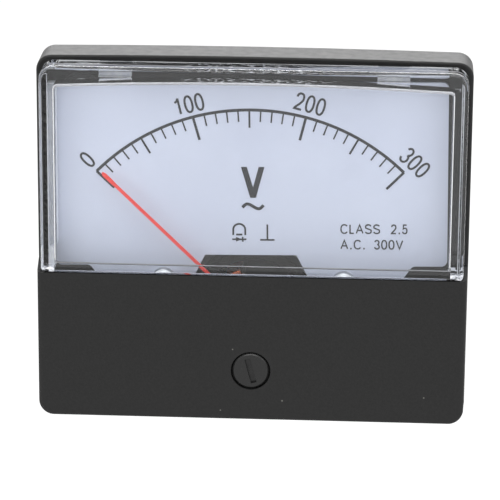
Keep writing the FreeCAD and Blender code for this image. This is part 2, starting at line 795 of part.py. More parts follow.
def make_core_magnet():
    c = ring_chamfer
    return turned(0, pivot_z, [
        (ring_front_y, 0), (ring_front_y, core_radius - c), (ring_front_y + c, core_radius),
        (ring_rear_y - c, core_radius), (ring_rear_y, core_radius - c), (ring_rear_y, 0)])


def make_core_spacers():
    """Two non-magnetic sectors between core and ring, on the sides that the coil never reaches."""
    middle = coil_rest_angle + pointer_sweep / 2 + 90
    y0 = ring_front_y + spacer_inset
    y1 = ring_rear_y - spacer_inset
    a = math.radians(spacer_half_angle)
    wedge_length = ring_outer / math.cos(a)
    wedge = panel([(0, pivot_z), (wedge_length * math.sin(-a), pivot_z + wedge_length * math.cos(a)),
                   (wedge_length * math.sin(a), pivot_z + wedge_length * math.cos(a))], y0, y1)
    tube = sleeve(0, pivot_z, ring_inner - metal_gap, core_radius + metal_gap, y0, y1)
    return [tube.common(turn(wedge, middle + half)) for half in (0, 180)]


def make_coil_former():
    y0 = ring_front_y - coil_air_gap
    y1 = ring_rear_y + coil_air_gap
    outer = block(-former_half_width, former_half_width, y0 - former_thickness, y1 + former_thickness,
                  pivot_z - former_outer, pivot_z + former_outer)
    inner = block(-former_half_width - past, former_half_width + past, y0, y1,
                  pivot_z - former_inner, pivot_z + former_inner)
    return turn(outer.cut(inner), coil_rest_angle)


def make_coil_winding():
    outer = block(-winding_half_width, winding_half_width, winding_front_y, winding_rear_y,
                  pivot_z - winding_outer, pivot_z + winding_outer)
    long_corners = [e for e in outer.Edges if e.BoundBox.XLength > winding_half_width]
    outer = outer.makeFillet(winding_round, long_corners)
    inner = block(-winding_half_width - past, winding_half_width + past, winding_front_y + winding_thickness,
                  winding_rear_y - winding_thickness, pivot_z - former_outer, pivot_z + former_outer)
    return turn(outer.cut(inner), coil_rest_angle)


def make_pillars(y0, y1, tapped_y):
    """Two posts between the ring and a bridge, tapped from the bridge's side."""
    def pillar(side):
        x = side * pillar_x
        depth = math.copysign(bridge_screw_length, (y0 + y1) / 2 - tapped_y)
        hole0, hole1 = sorted((tapped_y, tapped_y + depth))
        return rod(x, pivot_z, pillar_radius, y0, y1).cut(
            rod(x, pivot_z, bridge_screw_radius + metal_gap, hole0 - metal_gap, hole1 + metal_gap))
    return both_sides(pillar)


def stop_spots():
    """Where the two stop pins stand: clear of the needle at the ends of its swing."""
    lag = math.degrees(math.asin(needle_offset / stop_radius))
    reach = math.degrees((needle_width / 2 + stop_pin_radius + stop_clearance) / stop_radius)
    low = pointer_rest_angle + lag - stop_travel_spare - reach
    high = pointer_rest_angle + lag + pointer_sweep + stop_travel_spare + reach
    return [(stop_radius * math.sin(math.radians(a)), pivot_z + stop_radius * math.cos(math.radians(a)))
            for a in (low, high)]


def bridge_bar(y0, y1):
    pieces = [block(-pillar_x, pillar_x, y0, y1, pivot_z - bridge_half_height, pivot_z + bridge_half_height)]
    pieces += both_sides(lambda s: rod(s * pillar_x, pivot_z, bridge_half_height, y0, y1))
    return pieces


def bridge_holes(y0, y1):
    holes = both_sides(lambda s: rod(
        s * pillar_x, pivot_z, bridge_screw_radius + metal_gap, y0 - past, y1 + past))
    return holes + [rod(0, pivot_z, jewel_screw_radius + metal_gap, y0 - past, y1 + past)]


def make_front_bridge():
    """Strip with the boss that the zero lever turns on and two ears for the stop pins."""
    y0 = front_bridge_front_y
    y1 = front_bridge_rear_y
    pieces = bridge_bar(y0, y1) + [rod(0, pivot_z, bridge_boss_radius, front_boss_y, y1)]
    holes = bridge_holes(front_boss_y, y1)
    for x, z in stop_spots():
        side = math.copysign(1, x)
        pieces.append(rod(x, z, stop_ear_radius, y0, y1))
        pieces.append(panel([(x - stop_ear_radius, z), (x + stop_ear_radius, z),
                             (x + stop_ear_radius + max(side, 0) * stop_ear_radius, pivot_z),
                             (x - stop_ear_radius + min(side, 0) * stop_ear_radius, pivot_z)], y0, y1))
        holes.append(rod(x, z, stop_pin_radius + metal_gap, y0 - past, y1 + past))
    return fused(pieces).cut(holes).removeSplitter()


def make_pointer_stops():
    return [rod(x, z, stop_pin_radius, front_bridge_front_y, front_bridge_rear_y + stop_pin_reach)
            for x, z in stop_spots()]


def make_rear_bridge():
    y0 = rear_bridge_front_y
    y1 = rear_bridge_rear_y
    return fused(bridge_bar(y0, y1)).cut(bridge_holes(y0, y1)).removeSplitter()


def make_bridge_screws(seat_y, way):
    return both_sides(lambda s: pan_screw(
        s * pillar_x, pivot_z, bridge_screw_head_radius, bridge_screw_head_height,
        bridge_screw_radius, bridge_thickness + bridge_screw_length - metal_gap, seat_y, way))


def make_jewel_screw(jewel_y, way):
    """Slotted grub screw with a cone recess for the pivot at jewel_y; way -1 runs to the front."""
    far = jewel_y + way * jewel_screw_length
    c = jewel_screw_chamfer
    screw = turned(0, pivot_z, [
        (jewel_y + way * jewel_cone_depth, 0), (jewel_y, jewel_cone_radius),
        (jewel_y, jewel_screw_radius - c), (jewel_y + way * c, jewel_screw_radius),
        (far - way * c, jewel_screw_radius),
        (far, jewel_screw_radius - c), (far, 0)])
    y0, y1 = sorted((far + way * past, far - way * jewel_slot_depth))
    return screw.cut(block(-jewel_screw_radius, jewel_screw_radius, y0, y1,
                           pivot_z - jewel_slot_width / 2, pivot_z + jewel_slot_width / 2))


def make_locknut(y0, y1):
    nut = hexagon(0, pivot_z, locknut_flats, y0, y1)
    return nut.cut(rod(0, pivot_z, jewel_screw_radius + metal_gap, y0 - past, y1 + past))


def make_staff(base_y, jewel_y, way, collet0, collet1):
    """Pivot staff from its foot on the winding to its pointed tip in the jewel."""
    apex = jewel_y + way * (jewel_cone_depth - pivot_end_gap)
    staff = turned(0, pivot_z, [
        (base_y, 0), (base_y, staff_radius), (apex - way * pivot_cone_length, staff_radius), (apex, 0)])
    f0, f1 = sorted((base_y, base_y + way * staff_foot_thickness))
    foot = block(-winding_half_width, winding_half_width, f0, f1,
                 pivot_z - staff_foot_half_length, pivot_z + staff_foot_half_length)
    collet = sleeve(0, pivot_z, collet_radius, staff_radius / 2, collet0, collet1)
    return fused([staff, turn(foot, coil_rest_angle), collet])


def make_hairspring(y0, y1):
    """Flat spiral strip from just outside the collet to its anchor tag at the top."""
    inner = collet_radius + spring_inner_gap + spring_strip / 2
    outer = anchor_radius - spring_strip / 2
    count = int(spring_turns * spring_points_per_turn)

    def side(offset):
        points = []
        for i in range(count + 1):
            share = i / count
            radius = inner + (outer - inner) * share + offset
            a = 2 * math.pi * spring_turns * (share - 1)
            points.append(Vector(radius * math.sin(a), y0, pivot_z + radius * math.cos(a)))
        curve = Part.BSplineCurve()
        curve.interpolate(points)
        return curve.toShape(), points
    outer_edge, outer_points = side(spring_strip / 2)
    inner_edge, inner_points = side(-spring_strip / 2)
    wire = Part.Wire([outer_edge, Part.LineSegment(outer_points[-1], inner_points[-1]).toShape(), inner_edge,
                      Part.LineSegment(inner_points[0], outer_points[0]).toShape()])
    return outward(Part.Face(wire).extrude(Vector(0, y1 - y0, 0)))


def make_zero_lever():
    """Flat lever: ring on the bridge's boss, fork on the eccentric pin, tag for the front hairspring."""
    y0 = lever_front_y
    y1 = lever_rear_y
    tail_z = zero_z - eccentric - lever_tail_pass
    tag_z = pivot_z + anchor_radius
    tag_top = tag_z + anchor_thickness
    ring = rod(0, pivot_z, lever_ring_radius, y0, y1)
    tail = block(-lever_tail_half_width, lever_tail_half_width, y0, y1, tail_z, pivot_z)
    arm = block(-lever_arm_half_width, lever_arm_half_width, y0, y1, pivot_z, tag_top)
    tag = block(-lever_arm_half_width, lever_arm_half_width, y0, front_spring_rear_y, tag_z, tag_top)
    slot = block(-eccentric_pin_radius - fork_gap, eccentric_pin_radius + fork_gap, y0 - past, y1 + past,
                 tail_z - past, zero_z + fork_depth - eccentric)
    hole = rod(0, pivot_z, bridge_boss_radius + running_gap, y0 - past, y1 + past)
    return fused([ring, tail, arm, tag]).cut([slot, hole]).removeSplitter()


def make_rear_spring_anchor():
    """Bent tag on the rear bridge's front face."""
    y1 = rear_bridge_front_y
    top = pivot_z + anchor_radius + anchor_thickness
    plate = block(-lever_arm_half_width, lever_arm_half_width, y1 - lever_thickness, y1,
                  pivot_z + jewel_screw_radius + anchor_bore_gap, top)
    tag = block(-lever_arm_half_width, lever_arm_half_width, rear_spring_front_y, y1,
                pivot_z + anchor_radius, top)
    return plate.fuse(tag).removeSplitter()


def make_pointer():
    """Red needle, made pointing straight up beside the pivot and turned to its place at zero."""
    w = needle_width / 2
    p = paddle_width / 2
    tip = needle_radius
    right = [(w, -needle_tail), (w, tip - paddle_length), (p, tip - paddle_length + paddle_shoulder),
             (p, tip - paddle_point), (needle_tip_width / 2, tip)]
    outline = right + [(-x, z) for x, z in reversed(right)]
    needle = panel([(needle_offset + x, pivot_z + z) for x, z in outline], needle_front_y, hub_front_y)
    return turn(needle, pointer_rest_angle)


def arm_bar(degrees, start, end, radius):
    a = math.radians(degrees)
    way = Vector(math.sin(a), 0, math.cos(a))
    base = Vector(0, (hub_front_y + hub_rear_y) / 2, pivot_z) + way * start
    return Part.makeCylinder(radius, end - start, base, way)


def balance_angles():
    return [180 - balance_angle, 180 + balance_angle]


def make_pointer_hub():
    disc = rod(0, pivot_z, hub_radius, hub_front_y, hub_rear_y)
    arm = block(needle_offset - hub_arm_half_width, needle_offset + hub_arm_half_width, hub_front_y,
                hub_front_y + hub_arm_thickness, pivot_z - needle_tail, pivot_z + hub_arm_length)
    rods = [arm_bar(a, hub_radius / 2, balance_arm_length, balance_arm_radius) for a in balance_angles()]
    bore = rod(0, pivot_z, staff_radius + metal_gap, hub_front_y - past, hub_rear_y + past)
    return turn(fused([disc, arm] + rods).cut(bore).removeSplitter(), pointer_rest_angle)


def make_balance_weights():
    """A short sleeve on each balance arm."""
    start = weight_place - weight_length / 2
    end = weight_place + weight_length / 2
    weights = [arm_bar(a, start, end, weight_radius).cut(
        arm_bar(a, start - past, end + past, balance_arm_radius + metal_gap)) for a in balance_angles()]
    return [turn(w, pointer_rest_angle) for w in weights]


def make_circuit_board():
    board = block(-board_half_width, board_half_width, board_front_y, board_rear_y,
                  barrel_z - board_half_height, barrel_z + board_half_height)
    return board.cut(both_sides(lambda s: rod(
        s * terminal_offset, barrel_z, terminal_radius + mould_gap,
        board_front_y - past, board_rear_y + past)))


def component(x, z, radius, length, cap_length=0.0, cap_rise=0.0):
    """Round component lying along X on the board, with its two leads bent down to it."""
    axis_y = board_front_y - component_stand - radius

    def along_x(start, bar_length, bar_radius):
        return Part.makeCylinder(bar_radius, bar_length, Vector(start, axis_y, z), Vector(1, 0, 0))

    reach = length / 2 + component_lead_length
    pieces = [along_x(x - length / 2, length, radius), along_x(x - reach, 2 * reach, component_lead_radius)]
    if cap_length:
        inset = length / 2 - cap_length
        pieces += both_sides(lambda s: along_x(x + s * inset - cap_length / 2, cap_length, radius + cap_rise))
    for side in (-1, 1):
        pieces.append(Part.makeSphere(component_lead_radius, Vector(x + side * reach, axis_y, z)))
        pieces.append(rod(x + side * reach, z, component_lead_radius, axis_y, board_front_y))
    return fused(pieces)


def make_rectifier_diodes():
    return [component(side * diode_spacing, barrel_z + level, diode_radius, diode_length)
            for level in diode_rows for side in (-1, 1)]


def make_series_resistor():
    return component(0, barrel_z + resistor_height + diode_radius, resistor_radius, resistor_length,
                     resistor_cap_length, resistor_cap_rise)


def make_movement_leads():
    """Two short wires from the board: to the rear spring's tag and to the frame."""
    low = barrel_z - board_half_height + 2 * wire_radius
    tag_top = pivot_z + anchor_radius + anchor_thickness
    tag_mid_y = (rear_spring_front_y + rear_bridge_front_y) / 2
    spring_lead_x = -diode_spacing - spring_lead_side
    spring_lead = bent_wire([
        (spring_lead_x, board_front_y, low), (spring_lead_x, board_front_y - spring_lead_rise, low),
        (0, tag_mid_y, low + wire_radius), (0, tag_mid_y, tag_top)], wire_radius, wire_bend)
    ear_z = dial_screw_z - wire_radius
    lead_x = terminal_offset + terminal_head_flats / 2 + frame_lead_side
    frame_lead = bent_wire([
        (lead_x, board_front_y, low), (lead_x, board_front_y - frame_lead_rise, low),
        (dial_screw_offset, (board_front_y + frame_rear_y) / 2 - frame_lead_slack, ear_z),
        (dial_screw_offset, frame_rear_y, ear_z)], wire_radius, wire_bend)
    return [spring_lead, frame_lead]


def make_terminal_studs():
    def stud(side):
        x = side * terminal_offset
        head_y = board_front_y - terminal_head_height
        shank_y = board_front_y - terminal_head_height / 2
        head = hexagon(x, barrel_z, terminal_head_flats, head_y, board_front_y)
        shank = turned(x, barrel_z, [
            (shank_y, 0), (shank_y, terminal_radius), (lock_washer_y, terminal_radius),
            (lock_washer_y, terminal_root_radius), (nut_y, terminal_root_radius), (nut_y, terminal_radius),
            (terminal_end_y - terminal_tip_chamfer, terminal_radius),
            (terminal_end_y, terminal_radius - terminal_tip_chamfer), (terminal_end_y, 0)])
        return head.fuse(shank).removeSplitter()
    return both_sides(stud)


def make_terminal_washers():
    return both_sides(lambda s: sleeve(
        s * terminal_offset, barrel_z, washer_radius, terminal_radius + mould_gap, pad_y, washer_y))


def make_solder_tags():
    """Flat tags that hang down from the terminals, each with an eye for the lead."""
    def tag(side):
        x = side * terminal_offset
        eye_z = barrel_z - tag_length + tag_half_width
        plate = fused([
            rod(x, barrel_z, tag_radius, washer_y, tag_y),
            block(x - tag_half_width, x + tag_half_width, washer_y, tag_y, eye_z, barrel_z),
            rod(x, eye_z, tag_half_width, washer_y, tag_y)])
        return plate.cut([rod(x, barrel_z, terminal_radius + mould_gap, washer_y - past, tag_y + past),
                          rod(x, eye_z, tag_hole_radius, washer_y - past, tag_y + past)])
    return both_sides(tag)


def make_lock_washers():
    def washer(side):
        x = side * terminal_offset
        ring = sleeve(x, barrel_z, lock_washer_radius, terminal_radius + mould_gap, tag_y, lock_washer_y)
        split = block(x - lock_washer_split / 2, x + lock_washer_split / 2,
                      tag_y - past, lock_washer_y + past, barrel_z, barrel_z + lock_washer_radius + past)
        return ring.cut(split)
    return both_sides(washer)


def make_terminal_nuts():
    def nut(side):
        x = side * terminal_offset
        corner = terminal_nut_flats / math.sqrt(3)
        hexagonal = hexagon(x, barrel_z, terminal_nut_flats, lock_washer_y, nut_y)
        lathe = turned(x, barrel_z, [
            (lock_washer_y, 0), (lock_washer_y, corner), (nut_y - nut_chamfer, corner),
            (nut_y, corner - nut_chamfer_width), (nut_y, 0)])
        return hexagonal.common(lathe).cut(
            rod(x, barrel_z, terminal_root_radius + metal_gap, lock_washer_y - past, nut_y + past))
    return both_sides(nut)


nodes = {
    "rear_case": make_rear_case(),
    "mounting_studs": make_mounting_studs(),
    "window": make_window(),
    "lower_cover": make_lower_cover(),
    "zero_screw": make_zero_screw(),
    "dial_plate": make_dial_plate(),
    "scale_marks": make_scale_marks(),
    "dial_screws": make_dial_screws(),
    "movement_frame": make_movement_frame(),
    "movement_screws": make_movement_screws(),
    "pole_ring": make_pole_ring(),
    "core_magnet": make_core_magnet(),
    "core_spacers": make_core_spacers(),
    "coil_former": make_coil_former(),
    "coil_winding": make_coil_winding(),
    "front_pillars": make_pillars(front_bridge_rear_y, ring_front_y, front_bridge_rear_y),
    "rear_pillars": make_pillars(ring_rear_y, rear_bridge_front_y, rear_bridge_front_y),
    "front_bridge": make_front_bridge(),
    "rear_bridge": make_rear_bridge(),
    "front_bridge_screws": make_bridge_screws(front_bridge_front_y, 1),
    "rear_bridge_screws": make_bridge_screws(rear_bridge_rear_y, -1),
    "pointer_stops": make_pointer_stops(),
    "front_jewel_screw": make_jewel_screw(front_jewel_y, -1),
    "rear_jewel_screw": make_jewel_screw(rear_jewel_y, 1),
    "front_locknut": make_locknut(front_boss_y - locknut_thickness, front_boss_y),
    "rear_locknut": make_locknut(rear_bridge_rear_y, rear_bridge_rear_y + locknut_thickness),
    "front_pivot": make_staff(winding_front_y, front_jewel_y, -1, front_spring_front_y, front_spring_rear_y),
    "rear_pivot": make_staff(winding_rear_y, rear_jewel_y, 1, rear_spring_front_y, rear_spring_rear_y),
    "front_hairspring": make_hairspring(front_spring_front_y, front_spring_rear_y),
    "rear_hairspring": make_hairspring(rear_spring_front_y, rear_spring_rear_y),
    "zero_lever": make_zero_lever(),
    "rear_spring_anchor": make_rear_spring_anchor(),
    "pointer": make_pointer(),
    "pointer_hub": make_pointer_hub(),
    "balance_weights": make_balance_weights(),
    "circuit_board": make_circuit_board(),
    "rectifier_diodes": make_rectifier_diodes(),
    "series_resistor": make_series_resistor(),
    "movement_leads": make_movement_leads(),
    "terminal_studs": make_terminal_studs(),
    "terminal_washers": make_terminal_washers(),
    "solder_tags": make_solder_tags(),
    "lock_washers": make_lock_washers(),
    "terminal_nuts": make_terminal_nuts(),
}

os.makedirs("parts", exist_ok=True)
for name, shape in nodes.items():
    whole = Part.makeCompound(shape) if isinstance(shape, list) else shape
    whole.exportStep("parts/" + name + ".step")
    box = whole.BoundBox
    print(name, len(whole.Solids), "solids", "valid" if whole.isValid() else "NOT VALID",
          round(whole.Volume, 3), "mm3",
          [round(v, 2) for v in (box.XMin, box.XMax, box.YMin, box.YMax, box.ZMin, box.ZMax)])
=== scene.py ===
# %% [markdown]
# # A moving-coil panel meter, dressed
#
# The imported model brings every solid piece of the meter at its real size: the black case, the clear
# window, the dial and the whole movement behind it. This file gives them their finishes and adds what
# is too fine for solid modelling: the printed numerals, the screw threads, the turns of the coil and
# the little spots of solder. All lengths are in metres in the model's own frame, with X to the
# reader's right, Z up and Y away from the reader, into the panel.

import math

import bmesh
import bpy
from mathutils import Matrix, Vector


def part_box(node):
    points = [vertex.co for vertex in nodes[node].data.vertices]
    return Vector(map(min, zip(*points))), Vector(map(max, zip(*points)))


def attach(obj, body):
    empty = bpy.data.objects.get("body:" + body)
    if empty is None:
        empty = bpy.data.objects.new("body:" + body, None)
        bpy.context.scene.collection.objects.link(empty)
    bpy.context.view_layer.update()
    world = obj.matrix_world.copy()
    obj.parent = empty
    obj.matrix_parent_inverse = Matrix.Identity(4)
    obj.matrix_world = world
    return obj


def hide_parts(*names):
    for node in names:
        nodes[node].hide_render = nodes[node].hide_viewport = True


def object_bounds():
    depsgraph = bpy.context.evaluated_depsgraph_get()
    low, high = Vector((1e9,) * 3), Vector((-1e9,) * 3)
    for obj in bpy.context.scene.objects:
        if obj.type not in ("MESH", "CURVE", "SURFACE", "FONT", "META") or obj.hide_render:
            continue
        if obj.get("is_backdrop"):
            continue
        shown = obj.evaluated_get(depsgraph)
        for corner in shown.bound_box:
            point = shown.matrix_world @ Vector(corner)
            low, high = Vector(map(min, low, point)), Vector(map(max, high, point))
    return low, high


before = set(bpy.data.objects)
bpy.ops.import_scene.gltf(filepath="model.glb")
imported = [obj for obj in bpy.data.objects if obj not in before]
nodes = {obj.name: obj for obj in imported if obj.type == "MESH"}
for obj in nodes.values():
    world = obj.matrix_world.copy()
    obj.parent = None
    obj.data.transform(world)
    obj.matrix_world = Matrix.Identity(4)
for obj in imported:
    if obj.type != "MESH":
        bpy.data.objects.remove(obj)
cad_low, cad_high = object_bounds()
mm = 0.001
print("nodes:", len(nodes), "size in mm:", [round(v / mm, 1) for v in cad_high - cad_low])

# %% [markdown]
# ## The camera
#
# The meter is seen from the front, about eighteen degrees from above and a little from the right, with a
# long lens. A camera's place can be written as two angles and a distance from a point on the face. The
# field of view then follows from one number, the focal length in pixels of a square 500-pixel picture.

# %% Camera
picture_px = 500.0
focal_px = 3047.8
camera_yaw = 0.0488
camera_pitch = 0.3096
camera_roll = 0.0077
camera_distance = 502.75 * mm
camera_target = Vector((-0.798, 0.0, -4.208)) * mm

view_back = Vector((math.sin(camera_yaw) * math.cos(camera_pitch),
                    -math.cos(camera_yaw) * math.cos(camera_pitch),
                    math.sin(camera_pitch)))
view_right = Vector((math.cos(camera_yaw), math.sin(camera_yaw), 0.0))
view_up = view_back.cross(view_right)
picture_right = view_right * math.cos(camera_roll) + view_up * math.sin(camera_roll)
picture_up = view_up * math.cos(camera_roll) - view_right * math.sin(camera_roll)

camera_data = bpy.data.cameras.new("Camera")
camera_data.sensor_width = 36.0
camera_data.lens = focal_px / picture_px * camera_data.sensor_width
camera_data.clip_start = 0.01
camera_data.clip_end = 20.0
camera = bpy.data.objects.new("Camera", camera_data)
bpy.context.scene.collection.objects.link(camera)
turn = Matrix((picture_right, picture_up, view_back)).transposed()
camera.matrix_world = Matrix.Translation(camera_target + view_back * camera_distance) @ turn.to_4x4()
bpy.context.scene.camera = camera
print("camera at", [round(v / mm, 1) for v in camera.matrix_world.translation], "mm")

# %% [markdown]
# ## Helpers for materials
#
# Colours are easiest to judge as the hex values of a screen, but a renderer works with linear light, so
# one function converts them. A material is a small network of nodes: one function makes the material
# with its main shader, and one adds any other node with its settings and its links. A real surface
# wanders a little in colour, gloss and height, in soft clouds whose size is known in millimetres, so
# three functions draw such clouds as a pattern, as a change of colour or number, and as a relief.


# %% Colour and node helpers
def linear(hex_colour):
    """An sRGB hex colour as linear red, green, blue and alpha."""
    values = [int(hex_colour[i:i + 2], 16) / 255 for i in (1, 3, 5)]
    return [v / 12.92 if v <= 0.04045 else ((v + 0.055) / 1.055) ** 2.4 for v in values] + [1.0]


def material(name, **shader_inputs):
    """A new material with one Principled shader, whose sockets are set by name."""
    mat = bpy.data.materials.new(name)
    mat.use_nodes = True
    shader = mat.node_tree.nodes["Principled BSDF"]
    for socket, value in shader_inputs.items():
        shader.inputs[socket.replace("_", " ")].default_value = value
    return mat


def add(owner, kind, settings=None, **links):
    """Adds a node to a material, world or tree, with its settings and the links that feed it.

    A setting's key is a socket's name or number, or else a property of the node. A link's name is that
    of the socket, or its number behind an underscore.
    """
    tree = getattr(owner, "node_tree", owner)
    node = tree.nodes.new(kind)
    for key, value in (settings or {}).items():
        if isinstance(key, int) or key in node.inputs:
            node.inputs[key].default_value = value
        else:
            setattr(node, key, value)
    for name, source in links.items():
        socket = int(name[1:]) if name[1:].isdigit() else name.replace("_", " ")
        tree.links.new(source, node.inputs[socket])
    return node


def feed(mat, socket, source):
    """Links a source into a socket of the material's main shader."""
    mat.node_tree.links.new(source, mat.node_tree.nodes["Principled BSDF"].inputs[socket])


print("node helpers ready")


# %% Cloud helpers
def clouds(mat, size_mm, detail=2.0, roughness=0.5, stretch=(1.0, 1.0, 1.0)):
    """A noise of clouds about size_mm across; a stretch under 1 draws them out along that axis."""
    where = add(mat, "ShaderNodeTexCoord")
    space = add(mat, "ShaderNodeMapping", {"Scale": stretch}, Vector=where.outputs["Object"])
    settings = {"Scale": 1 / (size_mm * mm), "Detail": detail, "Roughness": roughness}
    return add(mat, "ShaderNodeTexNoise", settings, Vector=space.outputs["Vector"]).outputs["Fac"]


def cloudy(mat, low, high, size_mm, edges=(0.3, 0.7), **pattern):
    """A change between two hex colours or two numbers, in clouds about size_mm across."""
    cloud = clouds(mat, size_mm, **pattern)
    if isinstance(low, str):
        node = add(mat, "ShaderNodeValToRGB", Fac=cloud)
        for element, edge, colour in zip(node.color_ramp.elements, edges, (low, high)):
            element.position = edge
            element.color = linear(colour)
    else:
        limits = {"From Min": edges[0], "From Max": edges[1], "To Min": low, "To Max": high}
        node = add(mat, "ShaderNodeMapRange", limits, Value=cloud)
    return node.outputs[0]


def relief(mat, depth_mm, size_mm, **pattern):
    """Gives the main shader a bump of clouds about size_mm across that stand depth_mm proud."""
    node = add(mat, "ShaderNodeBump", {"Distance": depth_mm * mm}, Height=clouds(mat, size_mm, **pattern))
    feed(mat, "Normal", node.outputs["Normal"])


def tinted(name, roughness, dark, light, cloud_mm, detail=2.0, depth_mm=0.0, grain_mm=0.0, **shader_inputs):
    """A painted, printed or moulded surface in two close tints, with a faint relief if it has a depth."""
    mat = material(name, Roughness=roughness, **shader_inputs)
    feed(mat, "Base Color", cloudy(mat, dark, light, cloud_mm, detail=detail))
    if depth_mm:
        relief(mat, depth_mm, grain_mm)
    return mat


print("cloud helpers ready")

# %% [markdown]
# ## Black mouldings
#
# The case and the lower cover are injection-moulded ABS. The case left a plain steel mould, so it is
# satin; the cover's mould was spark-eroded, which leaves an even matt grain of about a tenth of a
# millimetre. That grain is too fine to see at this size, so it is drawn about three times coarser. The
# zero screw is nylon, smoother and a little glossier.

# %% Black plastics
case_plastic = material("ABS moulded satin", Specular_IOR_Level=0.28)
feed(case_plastic, "Base Color", cloudy(case_plastic, "#111111", "#161616", 6.0, (0.35, 0.65), detail=3.0))
feed(case_plastic, "Roughness", cloudy(case_plastic, 0.38, 0.48, 1.5, detail=4.0))
relief(case_plastic, 0.006, 0.25)

cover_plastic = material("ABS spark eroded matt", Roughness=0.7, Specular_IOR_Level=0.35)
cover_shade = cloudy(cover_plastic, "#151515", "#1c1c1c", 0.35, detail=3.0, roughness=0.6)
relief(cover_plastic, 0.02, 0.35, detail=3.0, roughness=0.6)

screw_plastic = material("Nylon moulded smooth", Base_Color=linear("#181818"), Specular_IOR_Level=0.42)
feed(screw_plastic, "Roughness", cloudy(screw_plastic, 0.24, 0.4, 0.8, detail=3.0))
relief(screw_plastic, 0.01, 0.5, detail=3.0)
print("black plastics:", case_plastic.name, cover_plastic.name, screw_plastic.name)

# %% [markdown]
# A few grains of dust lie on the cover's front. Each is a small soft disc of a paler colour round a
# fixed point, so the mask is the distance from that point, and the discs are laid over the plastic's
# colour one after another.

# %% Dust on the cover
dust_colour = linear("#62625e")
dust_fade = 1.8  # a spot's outer radius over its inner one
dust_spots = [(-2.95, -17.6, 0.08), (5.2, -26.3, 0.1), (28.3, -25.2, 0.09), (-4.9, -28.2, 0.08)]
cover_point = add(cover_plastic, "ShaderNodeTexCoord").outputs["Object"]
for x, z, radius in dust_spots:
    spot = (x * mm, cad_low.y, z * mm)
    away = add(cover_plastic, "ShaderNodeVectorMath", {"operation": "DISTANCE", 1: spot}, _0=cover_point)
    limits = {"From Min": radius * mm, "From Max": radius * dust_fade * mm, "To Min": 1.0, "To Max": 0.0}
    on_spot = add(cover_plastic, "ShaderNodeMapRange", limits, Value=away.outputs["Value"])
    cover_shade = add(cover_plastic, "ShaderNodeMix", {"data_type": "RGBA", 7: dust_colour},
                      Factor=on_spot.outputs["Result"], _6=cover_shade).outputs[2]
feed(cover_plastic, "Base Color", cover_shade)
print("dust spots:", len(dust_spots))

# %% [markdown]
# ## The clear window
#
# The window is one moulding of clear acrylic with a polished mould face. Acrylic bends light with an
# index of 1.49, so its walls show white lines where they look out to the light and dark ones where they
# look into the case, with nothing painted on. Lamps can't reach through a refracting shader in a
# reasonable time, so for lamp rays only the shader becomes transparent. That is a second shader laid
# over the first, and frost, floor and sky are made the same way further on.


# %% Clear acrylic
def overlay(owner, shader, amount):
    """Lays a second shader over what a material or world shows, by an amount from 0 to 1."""
    tree = owner.node_tree
    output = tree.nodes.get("Material Output") or tree.nodes["World Output"]
    surface = output.inputs["Surface"]
    under = surface.links[0].from_socket
    both = add(owner, "ShaderNodeMixShader", Fac=amount, _1=under, _2=shader.outputs[0])
    tree.links.new(both.outputs["Shader"], surface)


acrylic_tint = linear("#f6f8fa")
window_acrylic = material("Acrylic moulded clear", Base_Color=acrylic_tint, Roughness=0.0, IOR=1.49,
                          Transmission_Weight=1.0)
overlay(window_acrylic, add(window_acrylic, "ShaderNodeBsdfTransparent", {"Color": acrylic_tint}),
        add(window_acrylic, "ShaderNodeLightPath").outputs["Is Shadow Ray"])
print("window:", window_acrylic.name)

# %% [markdown]
# The two latches and the back edges of the side walls came from a rough part of the mould, so they are
# frosted. The skirt on the left is frosted too, as painted light: it stands in for the light from the left
# that is seen through the wall. The lip's edge gets a frosted line that is a painted highlight, where the
# rounded edge reflects the overhead lamp, and the rounded edge under the top wall gets a fainter frosted
# line. The top wall's arched inner face is pitted in the middle, and so are the foot's two corners. The
# foot's front edge is stuck to the cover with a thin line of black glue, drawn high enough to be painted
# shade over the highlight of the foot's rounded front edge. Each of these places is a box on the window, so
# one function makes a mask from the box's spans.

# %% Places on the window
window_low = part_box("window")[0]
outside = 100 * mm  # past the window on every side
latch_x = 22.3 * mm
latch_half_width = 2.62 * mm
latch_foot_z = 26.8 * mm
skirt_x = 33.22 * mm
skirt_inner_x = 32.05 * mm
skirt_top_z = 25.4 * mm
top_wall_z = 25.9 * mm
arch_middle_x = 1.0 * mm
arch_middle_y = -7.2 * mm
arch_rise = 1.3 * mm
lip_edge_y = window_low.y + 1.87 * mm
lip_edge_z = window_low.z + 1.34 * mm
top_edge_y = window_low.y + 2.05 * mm
ledge_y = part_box("lower_cover")[1].y - 0.01 * mm

window_point = add(window_acrylic, "ShaderNodeTexCoord").outputs["Object"]
window_xyz = add(window_acrylic, "ShaderNodeSeparateXYZ", Vector=window_point).outputs
window_aside = add(window_acrylic, "ShaderNodeMath", {"operation": "ABSOLUTE"}, _0=window_xyz["X"])
window_axes = {"x": window_xyz["X"], "y": window_xyz["Y"], "z": window_xyz["Z"],
               "aside": window_aside.outputs[0]}


def combined(mat, operation, *masks):
    """One mask from several, by their product, sum or maximum."""
    whole = masks[0]
    for mask in masks[1:]:
        whole = add(mat, "ShaderNodeMath", {"operation": operation}, _0=whole, _1=mask).outputs[0]
    return whole


def patch(**spans):
    """A mask that is 1 where a point of the window is in every span; aside is its distance from x = 0."""
    inside = []
    for axis, (low, high) in spans.items():
        middle, half = (low + high) / 2, (high - low) / 2
        node = add(window_acrylic, "ShaderNodeMath", {"operation": "COMPARE", 1: middle, 2: half},
                   _0=window_axes[axis])
        inside.append(node.outputs[0])
    return combined(window_acrylic, "MULTIPLY", *inside)


def about(middle, half_mm):
    """A span of half_mm on each side of a middle."""
    return (middle - half_mm * mm, middle + half_mm * mm)


